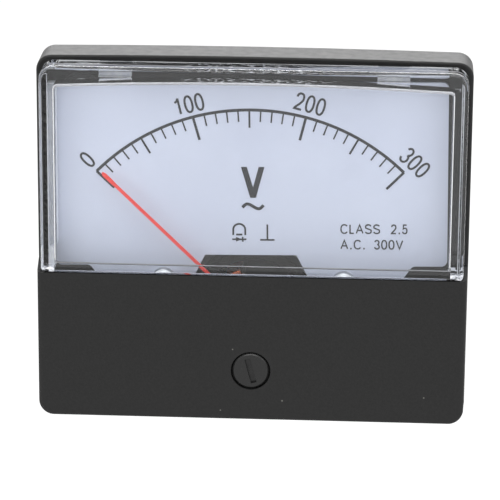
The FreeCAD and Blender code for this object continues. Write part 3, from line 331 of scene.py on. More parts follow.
behind_ledge = (ledge_y, outside)
latches = patch(aside=(latch_x - latch_half_width, latch_x + latch_half_width), y=behind_ledge,
                z=about(latch_foot_z, 0.22))
wall_backs = patch(aside=(skirt_x, outside), y=behind_ledge)
# Frost on the left skirt only: painted light, standing in for the light from the left that is seen through
# the wall.
left_skirt_painted_light = patch(x=(-outside, -skirt_inner_x), y=behind_ledge, z=(-outside, skirt_top_z))
# A frosted line on the lip's edge: a painted highlight where the rounded edge reflects the overhead lamp.
lip_painted_highlight = patch(y=about(lip_edge_y, 0.12), z=about(lip_edge_z, 0.1))
top_edge = patch(y=about(top_edge_y, 0.24), z=(top_wall_z - 0.45 * mm, outside))
foot_corners = patch(aside=(skirt_inner_x, outside), z=(-outside, window_low.z + 1.0 * mm))
arch = patch(y=about(arch_middle_y, 1.9), z=(top_wall_z, top_wall_z + arch_rise))
# A black band on the foot's front edge: glue, and painted shade over the highlight of the rounded edge.
glue_and_painted_shade = patch(y=(-outside, window_low.y + 1.5 * mm), z=(-outside, window_low.z + 0.13 * mm))
print("places on the window: 8")

# %% [markdown]
# Frost scatters light, so it is a white diffuse shader laid over the clear one, not quite closed. On the
# lip's edge, where it is a painted highlight, and on the rounded edge under the top wall, it is greyer. On
# the glue band, which is partly painted shade, it is black. The pits are noise drawn out along the arch, cut
# hard, and fading out towards the arch's ends.

# %% Frost, pits, glue and painted light
frost_cover = 0.92
top_edge_cover = 0.6
pit_size = 0.4
pit_pattern = {"detail": 3.0, "roughness": 0.6, "stretch": (0.35, 0.5, 1.0)}
arch_pits = cloudy(window_acrylic, 0.0, 1.0, pit_size, (0.52, 0.66), **pit_pattern)
corner_pits = cloudy(window_acrylic, 0.0, 1.0, pit_size, (0.5, 0.6), **pit_pattern)
from_arch_middle = add(window_acrylic, "ShaderNodeMath", {"operation": "SUBTRACT", 1: arch_middle_x},
                       _0=window_axes["x"])
off_middle = add(window_acrylic, "ShaderNodeMath", {"operation": "ABSOLUTE"}, _0=from_arch_middle.outputs[0])
limits = {"From Min": 6 * mm, "From Max": 15 * mm, "To Min": 1.0, "To Max": 0.0}
arch_fade = add(window_acrylic, "ShaderNodeMapRange", limits, Value=off_middle.outputs[0])
arch_pits = combined(window_acrylic, "MULTIPLY", arch_pits, arch, arch_fade.outputs["Result"])
corner_pits = combined(window_acrylic, "MULTIPLY", corner_pits, foot_corners)
faint_edge = add(window_acrylic, "ShaderNodeMath", {"operation": "MULTIPLY", 1: top_edge_cover}, _0=top_edge)
frosted = combined(window_acrylic, "MAXIMUM", latches, wall_backs, left_skirt_painted_light, lip_painted_highlight,
                   faint_edge.outputs[0], arch_pits, corner_pits)
frost_amount = add(window_acrylic, "ShaderNodeMath", {"operation": "MULTIPLY", 1: frost_cover}, _0=frosted)

frost_white = cloudy(window_acrylic, "#eceef6", "#fbfcff", 0.9, detail=3.0)
# Grey on the lip's line is a painted highlight; the line under the top wall is grey too.
highlight_and_edge_grey = add(window_acrylic, "ShaderNodeMix", {"data_type": "RGBA", 7: linear("#b2b2b6")},
                Factor=combined(window_acrylic, "MAXIMUM", lip_painted_highlight, top_edge), _6=frost_white)
# Black on the glue band, which is partly painted shade.
glue_and_shade_black = add(window_acrylic, "ShaderNodeMix", {"data_type": "RGBA", 7: linear("#101010")},
                 Factor=glue_and_painted_shade, _6=highlight_and_edge_grey.outputs[2])
overlay(window_acrylic, add(window_acrylic, "ShaderNodeBsdfDiffuse", Color=glue_and_shade_black.outputs[2]),
        combined(window_acrylic, "MAXIMUM", frost_amount.outputs[0], glue_and_painted_shade))
print("frost, pits and glue on", window_acrylic.name)

# %% [markdown]
# The melt's flow left long faint marks in the thick top wall, and the whole moulding is wavy over
# distances of about a centimetre. Both are summed into one bump, a hundredth of a millimetre high.

# %% Flow marks and waves
flow_depth = 0.012 * mm
wave_share = 0.3
top_wall = patch(y=(cad_low.y + 0.3 * mm, outside), z=(top_wall_z, outside))
flow = clouds(window_acrylic, 0.5, stretch=(0.04, 0.5, 1.0))
flow_marks = combined(window_acrylic, "MULTIPLY", flow, top_wall)
waves = add(window_acrylic, "ShaderNodeMath", {"operation": "MULTIPLY", 1: wave_share},
            _0=clouds(window_acrylic, 9.0, detail=1.0))
uneven = combined(window_acrylic, "ADD", flow_marks, waves.outputs[0])
feed(window_acrylic, "Normal",
     add(window_acrylic, "ShaderNodeBump", {"Distance": flow_depth}, Height=uneven).outputs["Normal"])
print("flow marks at most", flow_depth / mm, "mm high")

# %% [markdown]
# ## The dial's paint and print
#
# The dial is sheet aluminium with a baked, faintly blue-white enamel. Enamel is smooth but not glossy,
# and levels out in long soft waves. The print is dark screen ink and stands a few hundredths of a
# millimetre proud. The needle is sprayed with a thin red lacquer that hardly shines.

# %% Dial finishes
dial_enamel = tinted("Enamel baked white", 0.5, "#ccd0e0", "#d1d5e4", 12.0, 1.0, 0.002, 0.6)
dial_ink = tinted("Ink screen printed", 0.6, "#141418", "#1e1e24", 0.3)
pointer_paint = tinted("Lacquer sprayed red", 0.45, "#ea3e38", "#f24d46", 0.8, Specular_IOR_Level=0.2)
print("dial:", dial_enamel.name, dial_ink.name, pointer_paint.name)

# %% [markdown]
# ## Metals of the movement
#
# Every metal keeps the shader's own index and differs in colour, roughness and marks: turned brass has
# fine rings, rolled brass and aluminium fine lines along the sheet, zinc plating a soft cloudiness, and
# iron blackened in oil is nearly as dark as the plastic. The lines are clouds squeezed across one axis.

# %% Metal finishes
line_squeeze = 40.0


def metal(name, dark, light, roughness, cloud_mm, line_mm=0.0, line_axis=2):
    """A metal with cloudy colour and roughness, and fine lines across line_axis when line_mm is given."""
    mat = material(name, Metallic=1.0)
    feed(mat, "Base Color", cloudy(mat, dark, light, cloud_mm, detail=3.0))
    feed(mat, "Roughness", cloudy(mat, roughness - 0.06, roughness + 0.06, cloud_mm, detail=3.0))
    if line_mm:
        stretch = [1.0, 1.0, 1.0]
        stretch[line_axis] = line_squeeze
        relief(mat, 0.004, line_mm * line_squeeze, stretch=stretch)
    else:
        relief(mat, 0.003, cloud_mm / 6)
    return mat


plated_steel = metal("Steel zinc plated", "#a9abad", "#c3c5c6", 0.32, 1.2)
blackened_iron = metal("Iron blackened in oil", "#3a3836", "#4a4744", 0.45, 1.5)
ground_magnet = metal("Ferrite magnet ground", "#5b5b5e", "#6c6c70", 0.38, 1.0, 0.06, 0)
die_cast = metal("Zinc alloy die cast", "#8f9193", "#a5a7a9", 0.5, 0.9)
sheet_aluminium = metal("Aluminium rolled sheet", "#c4c6c9", "#d8dadc", 0.33, 1.5, 0.05, 2)
brass = metal("Brass turned bright", "#b08f4a", "#c7a65c", 0.28, 1.4, 0.05, 1)
spring_bronze = metal("Bronze rolled spring strip", "#a8743f", "#bd8850", 0.25, 0.8)
tinned_brass = metal("Brass tin dipped", "#b5b3ab", "#cbc9c2", 0.3, 0.8)
print("metals: 8")

# %% [markdown]
# ## Copper, board and components
#
# The coil is copper wire under a clear reddish enamel, so it is a metal with a coat. The board is
# paper-based phenolic, warm brown with short fibres. Diodes are black moulded epoxy with a pale band at
# one end, the resistor is dipped in a thick glossy lacquer, and the leads have a soft PVC sleeve.

# %% Copper, board and components
copper_wire = metal("Copper enamelled wire", "#9c4a22", "#c0653a", 0.3, 0.5)
copper_shader = copper_wire.node_tree.nodes["Principled BSDF"]
copper_shader.inputs["Coat Weight"].default_value = 0.7
copper_shader.inputs["Coat Roughness"].default_value = 0.15

fibres = {"detail": 4.0, "stretch": (1.0, 1.0, 6.0)}
board_phenolic = material("Phenolic paper laminate", Roughness=0.5)
feed(board_phenolic, "Base Color", cloudy(board_phenolic, "#8a5a2c", "#a8743c", 2.5, **fibres))
relief(board_phenolic, 0.01, 2.5, **fibres)

component_epoxy = tinted("Epoxy moulded black", 0.35, "#191919", "#242424", 0.4, 3.0, 0.004, 0.2)
resistor_lacquer = tinted("Lacquer dipped blue", 0.3, "#5f8fa8", "#6fa0b8", 0.7, 2.0, 0.01, 0.8)
lead_sleeve = tinted("PVC sleeve extruded", 0.45, "#a3201c", "#b52a24", 1.0, 2.0, 0.005, 0.5)
print("components:", copper_wire.name, board_phenolic.name, component_epoxy.name)

# %% [markdown]
# ## Which piece has which finish
#
# Each solid piece comes with a plain stand-in material that is named after its finish. The stand-ins
# are swapped for the finishes made above, and the pieces' meshes stay as they are.

# %% Give each piece of the model its finish
finishes = {
    "case_plastic": case_plastic, "cover_plastic": cover_plastic, "screw_plastic": screw_plastic,
    "clear_window": window_acrylic, "dial_white": dial_enamel, "dial_ink": dial_ink,
    "pointer_red": pointer_paint, "plated_steel": plated_steel, "blackened_iron": blackened_iron,
    "magnet": ground_magnet, "die_cast": die_cast, "aluminium": sheet_aluminium,
    "copper_wire": copper_wire, "spring_bronze": spring_bronze, "brass": brass,
    "tinned_brass": tinned_brass, "board": board_phenolic, "component_black": component_epoxy,
    "resistor_body": resistor_lacquer, "lead_sleeve": lead_sleeve,
}
for piece in nodes.values():
    for material_slot in piece.material_slots:
        material_slot.material = finishes[material_slot.material.name.split(".")[0]]
print("finishes given to", len(nodes), "pieces")

# %% [markdown]
# ## Printed numerals and signs
#
# A screen printer's condensed letters have one even line width, so each is drawn here as pen strokes:
# lists of points in a box one wide and one high. A stroke becomes a flat ribbon as thick as the ink.
# Numerals stand on a ring outside the scale and lean with it. The dial sits very slightly turned on its
# two screws, and everything printed turns with it.

# %% Where the dial is
dial_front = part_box("dial_plate")[0].y
ink_height = 0.05 * mm
stroke_step = 0.04  # how much of the ink's height each crossing stroke stands over the one before it
dial_turn = math.radians(0.96)
scale_centre = Vector((-0.34, 0.0, -14.69)) * mm
dial_place = (Matrix.Translation((scale_centre.x, dial_front, scale_centre.z))
              @ Matrix.Rotation(dial_turn, 4, Vector((0, -1, 0))))
print("dial front at y =", round(dial_front / mm, 2), "mm")


# %% Pen strokes
def bow(x, z, wide, high, start, end, steps=24, squareness=0.87):
    """Points along part of an oval from start to end in degrees; a squareness of 1 is an ellipse."""
    points = []
    for i in range(steps + 1):
        a = math.radians(start + (end - start) * i / steps)
        c, s = math.cos(a), math.sin(a)
        points.append((x + wide * math.copysign(abs(c) ** squareness, c),
                       z + high * math.copysign(abs(s) ** squareness, s)))
    return points


letters = {
    "0": [bow(0.5, 0.5, 0.5, 0.5, 0, 360, 48)],
    "1": [[(0.66, 0.0), (0.66, 1.0)], [(0.66, 1.0), (0.5, 0.85), (0.14, 0.76)]],
    "2": [bow(0.5, 0.72, 0.47, 0.28, 175, -28) + [(0.62, 0.36), (0.1, 0.1), (0.0, 0.0), (1.0, 0.0)]],
    "3": [bow(0.48, 0.755, 0.44, 0.245, 165, -78, squareness=1.0),
          bow(0.48, 0.265, 0.5, 0.265, 82, -168, squareness=1.0)],
    "5": [[(0.92, 1.0), (0.2, 1.0), (0.08, 0.5)] + bow(0.48, 0.32, 0.5, 0.32, 128, -165)],
    "C": [bow(0.53, 0.5, 0.52, 0.5, 38, 322)],
    "L": [[(0.05, 1.0), (0.05, 0.0), (1.0, 0.0)]],
    "A": [[(0.0, 0.0), (0.5, 1.0), (1.0, 0.0)], [(0.17, 0.34), (0.83, 0.34)]],
    "S": [bow(0.49, 0.75, 0.46, 0.25, 18, 205) + [(0.3, 0.56), (0.72, 0.45)]
          + bow(0.5, 0.255, 0.49, 0.255, 32, -165)],
    "V": [[(0.0, 1.0), (0.5, 0.0), (1.0, 1.0)]],
    ".": [[(0.5, -0.07), (0.5, 0.12)]],
}
print("letters:", " ".join(letters))

# %% Strokes of ink
sharpest_mitre = 0.45  # bends past this get no longer corners


def ribbon(points, line_width, closed=False):
    """Outline faces of a stroke: its left and right sides, mitred where it bends."""
    count = len(points)
    sides = []
    for i, (x, z) in enumerate(points):
        before = points[(i - 1) % count] if closed or i else points[i]
        after = points[(i + 1) % count] if closed or i < count - 1 else points[i]
        first = Vector((x - before[0], z - before[1]))
        second = Vector((after[0] - x, after[1] - z))
        ways = [w.normalized() for w in (first, second) if w.length > 1e-9]
        along = sum(ways, Vector((0.0, 0.0))).normalized()
        across = Vector((-along.y, along.x))
        stretch = 1.0 / max(sharpest_mitre, across.dot(Vector((-ways[0].y, ways[0].x))))
        offset = across * line_width / 2 * stretch
        sides.append((x + offset.x, z + offset.y, x - offset.x, z - offset.y))
    return sides


def closed_mesh(name, shape, place=Matrix()):
    """The mesh of a closed shape at its place, with its faces outwards."""
    bmesh.ops.recalc_face_normals(shape, faces=shape.faces)
    mesh = bpy.data.meshes.new(name)
    shape.to_mesh(mesh)
    shape.free()
    mesh.transform(place)
    return mesh


def ink_mesh(strokes, line_width):
    """One mesh of ink from strokes in metres about the scale's centre; each lies a little over the last."""
    ink = bmesh.new()
    for number, points in enumerate(strokes):
        closed = (Vector(points[0]) - Vector(points[-1])).length < 1e-9
        if closed:
            points = points[:-1]
        top = -ink_height * (1.0 + stroke_step * number)
        rings = []
        for left_x, left_z, right_x, right_z in ribbon(points, line_width, closed):
            corners = ((left_x, top, left_z), (right_x, top, right_z),
                       (right_x, 0.0, right_z), (left_x, 0.0, left_z))
            rings.append([ink.verts.new(corner) for corner in corners])
        pairs = list(zip(rings, rings[1:]))
        if closed:
            pairs.append((rings[-1], rings[0]))
        for one, two in pairs:
            for k in range(4):
                ink.faces.new((one[k], one[(k + 1) % 4], two[(k + 1) % 4], two[k]))
        if not closed:
            ink.faces.new(rings[0][::-1])
            ink.faces.new(rings[-1])
    return closed_mesh("ink", ink, dial_place)


print("ink is", round(ink_height / mm, 2), "mm high")


# %% Words and filled shapes
def word(text, x, z, height, widths, gap, line_width, lean=0.0, centred=False):
    """A word whose middle height is z; it starts at x, or is centred there, and leans clockwise."""
    total = sum(widths[letter] + gap for letter in text) - gap
    pen = -total / 2 if centred else 0.0
    turn_cos, turn_sin = math.cos(lean), math.sin(lean)
    strokes = []
    for letter in text:
        w = widths[letter] - line_width
        for points in letters[letter]:
            flat = [(pen + line_width / 2 + px * w, (pz - 0.5) * (height - line_width)) for px, pz in points]
            strokes.append([(x + u * turn_cos + v * turn_sin, z - u * turn_sin + v * turn_cos)
                            for u, v in flat])
        pen += widths[letter] + gap
    return ink_mesh(strokes, line_width)


def ink_plate(points, x, z):
    """A filled shape of ink from its outline in millimetres about (x, z)."""
    plate = bmesh.new()
    front = [plate.verts.new(((x + u) * mm, -ink_height, (z + v) * mm)) for u, v in points]
    back = [plate.verts.new((v.co.x, 0.0, v.co.z)) for v in front]
    plate.faces.new(front)
    plate.faces.new(back[::-1])
    for i in range(len(points)):
        j = (i + 1) % len(points)
        plate.faces.new((front[j], front[i], back[i], back[j]))
    return closed_mesh("ink", plate, dial_place)


def join_meshes(name, meshes):
    """One object from several meshes whose places are already in them."""
    whole = bmesh.new()
    for mesh in meshes:
        whole.from_mesh(mesh)
    joined = bpy.data.meshes.new(name)
    whole.to_mesh(joined)
    whole.free()
    piece = bpy.data.objects.new(name, joined)
    bpy.context.scene.collection.objects.link(piece)
    return piece


print("helpers for words ready")

# %% Numerals and words
numeral_height = 3.0 * mm
numeral_line = 0.35 * mm
numeral_gap = 0.26 * mm
numeral_widths = {digit: 1.5 * mm for digit in "0123"}
# Each numeral's angle on the scale, its distance from the scale's centre in mm, and its own extra lean
numerals = [("0", -44.69, 37.65, 0.0), ("100", -15.2, 37.46, 2.2),
            ("200", 15.2, 37.56, 0.5), ("300", 45.27, 37.67, -1.0)]
word_meshes = []
for text, angle, ring, extra_lean in numerals:
    a = math.radians(angle)
    lean = math.radians(angle + extra_lean)
    word_meshes.append(word(text, ring * mm * math.sin(a), ring * mm * math.cos(a), numeral_height,
                            numeral_widths, numeral_gap, numeral_line, lean, centred=True))
print("numerals:", len(word_meshes))

# %% The rating in small print
small_widths = {"C": 1.26, "L": 0.87, "A": 1.29, "S": 1.17, "V": 1.23,
                "0": 1.0, "2": 0.93, "3": 0.96, "5": 0.93, ".": 0.49}
small_print = {"height": 1.67 * mm, "widths": {letter: w * mm for letter, w in small_widths.items()},
               "gap": 0.19 * mm, "line_width": 0.22 * mm}
class_line_z = 15.2
rating_line_z = 12.54
for text, x, z in (("CLASS", 14.68, class_line_z), ("2.5", 22.94, class_line_z),
                   ("A.C.", 14.7, rating_line_z), ("300V", 20.2, rating_line_z)):
    word_meshes.append(word(text, x * mm, z * mm, **small_print))
print("numerals and words:", len(word_meshes))

# %% [markdown]
# The big V is a filled outline, since its limbs taper. The wave under it means alternating current: it
# is a sine whose ends run on past the middle line, so that they curl in like a tilde's. The horseshoe
# means a moving coil, the diode below it a rectifier, and the upright line on a base a dial that stands
# upright.


# %% The big V, the wave and the three signs
def sign(strokes, x, z, line_width):
    """Strokes in millimetres about (x, z)."""
    placed = [[((x + u) * mm, (z + v) * mm) for u, v in points] for points in strokes]
    return ink_mesh(placed, line_width * mm)


wave_crest = 0.96
wave_end = 1.73
wave_rise = 0.4
wave_steps = 48


def wave_point(x):
    """A point of the wave in mm: a quarter turn of sine up to the crest, and 118 degrees from there on."""
    past_crest = max(0.0, abs(x) - wave_crest) / (wave_end - wave_crest)
    phase = 90.0 * min(abs(x) / wave_crest, 1.0) + 118.0 * past_crest
    return (x, -wave_rise * math.copysign(1.0, x) * math.sin(math.radians(phase)))


big_v = [(-1.91, 2.6), (-0.97, 2.6), (0.02, -0.86), (0.97, 2.6), (1.91, 2.6), (0.48, -2.6), (-0.46, -2.6)]
wave = [wave_point(wave_end * (2 * i / wave_steps - 1)) for i in range(wave_steps + 1)]
horseshoe = [[(-0.985, -0.95)] + bow(0.0, -0.02, 0.985, 0.985, 180, 0, squareness=1.0) + [(0.985, -0.95)],
             [(-0.5, -0.86), (0.5, -0.86)]]
diode = [[(-1.17, 0.0), (1.17, 0.0)], [(0.555, 0.41), (0.555, -0.41)]]
arrow = [(-0.53, 0.4), (0.42, 0.0), (-0.53, -0.4)]
upright_use = [[(0.0, 1.48), (0.0, -1.1)], [(-1.17, -1.15), (1.17, -1.15)]]
coil_x, diode_z = -1.845, 13.33
sign_meshes = [ink_plate(big_v, 0.46, 23.055), sign([wave], 0.45, 18.97, 0.5),
               sign(horseshoe, coil_x, 15.0, 0.3), sign(diode, coil_x, diode_z, 0.26),
               ink_plate(arrow, coil_x, diode_z), sign(upright_use, 2.76, 14.4, 0.27)]
dial_words = join_meshes("dial_words", word_meshes + sign_meshes)
dial_words.data.materials.append(dial_ink)
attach(dial_words, "root")
print("ink faces:", len(dial_words.data.polygons))

# %% [markdown]
# ## Threads, coil turns and solder
#
# What repeats is made by small geometry trees. A tree gets named sizes, makes one piece, copies it to the
# given places and ends as plain mesh. The places are the vertices of a mesh made for it. The pieces that
# stand on the same axis as a thread are turned: a half section of (y, radius) points spun about Y.


# %% Helpers for geometry trees
def geometry_tree(name, sizes):
    """An empty tree that takes the places and the named sizes; gives the tree and its input sockets."""
    tree = bpy.data.node_groups.new(name, "GeometryNodeTree")
    tree.interface.new_socket("Places", in_out="INPUT", socket_type="NodeSocketGeometry")
    for size, value in sizes.items():
        kind = "NodeSocketInt" if isinstance(value, int) else "NodeSocketFloat"
        tree.interface.new_socket(size, in_out="INPUT", socket_type=kind)
    tree.interface.new_socket("Geometry", in_out="OUTPUT", socket_type="NodeSocketGeometry")
    return tree, add(tree, "NodeGroupInput").outputs


def grown(tree, geometry, finish, sizes, places, turn_matrix=Matrix()):
    """Ends the tree in plain geometry with its finish and gives the mesh that it makes at the places."""
    real = add(tree, "GeometryNodeRealizeInstances", Geometry=geometry)
    finished = add(tree, "GeometryNodeSetMaterial", {"Material": finish}, Geometry=real.outputs[0])
    add(tree, "NodeGroupOutput", Geometry=finished.outputs[0])
    points = bpy.data.meshes.new(tree.name)
    points.from_pydata([Vector(p) * mm for p in places], [], [])
    holder = bpy.data.objects.new(tree.name, points)
    bpy.context.scene.collection.objects.link(holder)
    modifier = holder.modifiers.new(tree.name, "NODES")
    modifier.node_group = tree
    for item in tree.interface.items_tree:
        if item.in_out == "INPUT" and item.name in sizes:
            modifier[item.identifier] = sizes[item.name]
    bpy.context.view_layer.update()
    mesh = bpy.data.meshes.new_from_object(holder.evaluated_get(bpy.context.evaluated_depsgraph_get()))
    holder.modifiers.remove(modifier)
    bpy.data.objects.remove(holder)
    mesh.transform(turn_matrix)
    return mesh


print("tree helpers ready")


# %% Helpers for turned pieces
def spun(profile, x, z, sides=32, first_angle=0.0, axis="Y"):
    """(along, radius) points in mm spun about an axis along Y through (x, z), or along X through (y, z)."""
    piece = bmesh.new()
    rings = []
    for along, radius in profile:
        ring = []
        for i in range(sides):
            a = first_angle + 2 * math.pi * i / sides
            u, v = radius * math.cos(a), radius * math.sin(a)
            point = (x + u, along, z + v) if axis == "Y" else (along, x + u, z + v)
            ring.append(piece.verts.new(Vector(point) * mm))
        rings.append(ring)
    for one, two in zip(rings, rings[1:]):
        for i in range(sides):
            j = (i + 1) % sides
            piece.faces.new((one[i], one[j], two[j], two[i]))
    piece.faces.new(rings[0])
    piece.faces.new(rings[-1])
    return closed_mesh("spun", piece)


def dressed(name, meshes, finish, node=None):
    """One object from meshes of one finish, in place of a node if one is named, which is then hidden."""
    piece = join_meshes(name, meshes)
    piece.data.materials.clear()
    piece.data.materials.append(finish)
    for face in piece.data.polygons:
        face.material_index = 0
    if node:
        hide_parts(node)
    return piece


def reach(piece, high):
    """How far a piece's mesh reaches past a corner, in mm."""
    return [round((max(v.co[i] for v in piece.data.vertices) - high[i]) / mm, 3) for i in range(3)]


print("helpers for turned pieces ready")

# %% [markdown]
# A thread's ridge is a triangle drawn along a helix. The triangle's corners lie two thirds of the
# thread's depth from its middle, one of them outwards, so the helix runs that much inside the thread's
# outer radius.


# %% Thread tree
def thread(name, finish, places, radius, depth, pitch, length):
    """Right-hand thread ridges along Y that start at the places."""
    ridge_size = depth * 2 / 3
    sizes = {"Turns": length / pitch, "Ridge radius": (radius - ridge_size) * mm,
             "Ridge size": ridge_size * mm, "Length": length * mm, "Steps": 20}
    tree, given = geometry_tree(name, sizes)
    helix = add(tree, "GeometryNodeCurveSpiral", Resolution=given["Steps"], Rotations=given["Turns"],
                Start_Radius=given["Ridge radius"], End_Radius=given["Ridge radius"], Height=given["Length"])
    upright = add(tree, "GeometryNodeSetCurveNormal", {"mode": "Z_UP"}, Curve=helix.outputs[0])
    section = add(tree, "GeometryNodeCurvePrimitiveCircle", {"Resolution": 3}, Radius=given["Ridge size"])
    ridge = add(tree, "GeometryNodeCurveToMesh", {"Fill Caps": True}, Curve=upright.outputs[0],
                Profile_Curve=section.outputs[0])
    copies = add(tree, "GeometryNodeInstanceOnPoints", {"Rotation": (-math.pi / 2, 0.0, 0.0)},
                 Points=given["Places"], Instance=ridge.outputs[0])
    return grown(tree, copies.outputs[0], finish, sizes, places)


print("thread tree ready")

# %% Mounting studs, M3 with a pitch of 0.5 mm
stud_low, stud_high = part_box("mounting_studs")
stud_x, stud_z = 28.0, 23.0
stud_start, stud_end = stud_low.y / mm, stud_high.y / mm
head_radius, neck_radius, core_radius, tip_radius = 2.5, 1.75, 1.2, 1.05
head_back = stud_start + 1.0
stud_places = [(x, 0.25, z) for x in (-stud_x, stud_x) for z in (-stud_z, stud_z)]
stud_core = [(stud_start, head_radius), (head_back, head_radius), (head_back, neck_radius),
             (0.0, neck_radius), (0.0, core_radius), (stud_end - 0.35, core_radius), (stud_end, tip_radius)]
stud_meshes = [thread("stud_thread", plated_steel, stud_places, radius=1.5, depth=0.32, pitch=0.5,
                      length=stud_end - 0.8)]
stud_meshes += [spun(stud_core, x, z, 24) for x, y, z in stud_places]
studs = dressed("mounting_studs_threaded", stud_meshes, plated_steel, "mounting_studs")
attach(studs, "root")
print("studs reach past the solids by mm:", reach(studs, stud_high), "faces:", len(studs.data.polygons))

# %% Terminals, M4 with a pitch of 0.7 mm
terminal_low, terminal_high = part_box("terminal_studs")
nut_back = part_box("terminal_nuts")[1].y / mm
washer_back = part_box("lock_washers")[1].y / mm
board_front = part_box("circuit_board")[0].y / mm
terminal_z = (terminal_low.z + terminal_high.z) / 2 / mm
terminal_end = terminal_high.y / mm
terminal_x = 12.0
terminal_places = [(x, nut_back + 0.2, terminal_z) for x in (-terminal_x, terminal_x)]
head_across_flats = 7.0
head_corner = head_across_flats / math.sqrt(3)
# The head's hexagon lies with a corner sideways if the solid reaches out that far, or else with a flat
corner_sideways = terminal_high.x / mm > terminal_x + head_corner - 0.25
head_turn = 0.0 if corner_sideways else math.radians(30)
shank_radius, root_radius, end_radius = 2.0, 1.65, 1.45
terminal_head = [(terminal_low.y / mm, head_corner), (board_front, head_corner)]
terminal_core = [(board_front - 0.5, shank_radius), (washer_back, shank_radius), (washer_back, root_radius),
                 (terminal_end - 0.4, root_radius), (terminal_end, end_radius)]
terminal_meshes = [thread("terminal_thread", brass, terminal_places, radius=shank_radius, depth=0.4,
                          pitch=0.7, length=terminal_end - nut_back - 0.9)]
terminal_meshes += [spun(terminal_core, x, z, 32) for x, y, z in terminal_places]
terminal_meshes += [spun(terminal_head, x, z, 6, head_turn) for x, y, z in terminal_places]
terminals = dressed("terminal_studs_threaded", terminal_meshes, brass, "terminal_studs")
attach(terminals, "root")
print("terminals reach past the solids by mm:", reach(terminals, terminal_high))

# %% [markdown]
# The coil is wound in many turns of wire 0.05 mm thick, which is too fine to show, so the outer layer has
# nine turns that are five times as thick. They lie on a plain body that stands for the layers below. The
# whole is made upright about the pivot and then turned to the coil's angle when the needle is at zero.

# %% Coil sizes
coil_low, coil_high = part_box("coil_winding")
coil_half_height, coil_width, coil_thickness, wire = 8.5, 2.4, 1.1, 0.26
coil_depth = (coil_high.y - coil_low.y) / mm
pivot = Vector((0.0, (coil_low.y + coil_high.y) / 2, (coil_low.z + coil_high.z) / 2))
coil_sizes = {"Loop height": (2 * coil_half_height - wire) * mm, "Loop depth": (coil_depth - wire) * mm,
              "Wire radius": wire / 2 * mm, "Turns": 9, "Corner": 0.57 * mm,
              "Body height": (2 * coil_half_height - wire - coil_thickness) * mm,
              "Body depth": (coil_depth - wire - coil_thickness) * mm,
              "Body thickness": (coil_thickness - wire) * mm, "Body width": (coil_width - 0.1) * mm}
print("coil:", coil_sizes["Turns"], "turns")

# %% Coil turns
coil_tree, given = geometry_tree("coil_turns", coil_sizes)


def rounded_loop(height, depth):
    """A rounded rectangle of the tree's own sizes."""
    loop = add(coil_tree, "GeometryNodeCurvePrimitiveQuadrilateral", Width=given[height],
               Height=given[depth])
    return add(coil_tree, "GeometryNodeFilletCurve", {"mode": "POLY", 1: 4}, Curve=loop.outputs[0],
               Radius=given["Corner"]).outputs[0]


wire_section = add(coil_tree, "GeometryNodeCurvePrimitiveCircle", {"Resolution": 8},
                   Radius=given["Wire radius"])
one_turn = add(coil_tree, "GeometryNodeCurveToMesh", Curve=rounded_loop("Loop height", "Loop depth"),
               Profile_Curve=wire_section.outputs[0])
turn_copies = add(coil_tree, "GeometryNodeInstanceOnPoints", Points=given["Places"],
                  Instance=one_turn.outputs[0])
body_section = add(coil_tree, "GeometryNodeCurvePrimitiveQuadrilateral", Width=given["Body thickness"],
                   Height=given["Body width"])
coil_body = add(coil_tree, "GeometryNodeCurveToMesh", Curve=rounded_loop("Body height", "Body depth"),
                Profile_Curve=body_section.outputs[0])
coil_join = add(coil_tree, "GeometryNodeJoinGeometry")
for source in (turn_copies.outputs[0], coil_body.outputs[0]):
    coil_tree.links.new(source, coil_join.inputs[0])
upright_coil = Matrix(((0, 0, -1, 0), (0, 1, 0, 0), (1, 0, 0, 0), (0, 0, 0, 1)))
coil_turn = math.radians(-24.5)
coil_place = Matrix.Translation(pivot) @ Matrix.Rotation(coil_turn, 4, "Y") @ upright_coil
turns = coil_sizes["Turns"]
turn_pitch = (coil_width - wire) / (turns - 1)
turn_places = [(0.0, 0.0, (i - (turns - 1) / 2) * turn_pitch) for i in range(turns)]
coil_mesh = grown(coil_tree, coil_join.outputs[0], copper_wire, coil_sizes, turn_places, coil_place)
coil = dressed("coil_winding_turns", [coil_mesh], copper_wire, "coil_winding")
for face in coil.data.polygons:
    face.use_smooth = True
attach(coil, "moving_element")
print("coil reaches past the solid by mm:", reach(coil, coil_high), "faces:", len(coil.data.polygons))

# %% [markdown]
# A pale ring marks each diode's cathode. The resistor's rings are a code: red, violet, yellow and gold
# read 270 kilohms within 5 percent. The rings are drawn with a thin coat of paint that stands a
# hundredth of a millimetre proud.

# %% Where the diodes and the resistor are
diode_low, diode_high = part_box("rectifier_diodes")
resistor_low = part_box("series_resistor")[0]
diode_radius = 1.0
resistor_cap_radius = 1.84
diode_axis_y = diode_low.y / mm + diode_radius
diode_rows = (diode_low.z / mm + diode_radius, diode_high.z / mm - diode_radius)
resistor_axis_y = resistor_low.y / mm + resistor_cap_radius
resistor_z = resistor_low.z / mm + resistor_cap_radius
print("diode rows at z, mm:", [round(z, 2) for z in diode_rows])


# %% Bands on the diodes and the resistor
def band(mat_name, colour, spots, radius, half_width, axis_y, rows):
    """Painted rings round axes along X."""
    paint = material(mat_name, Base_Color=linear(colour), Roughness=0.4)
    relief(paint, 0.003, 0.3)
    proud = radius + 0.01
    rings = [spun([(x - half_width, proud), (x + half_width, proud)], axis_y, z, 24, axis="X")
             for x in spots for z in rows]
    piece = dressed(mat_name.replace(" ", "_").lower(), rings, paint)
    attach(piece, "root")
    return piece


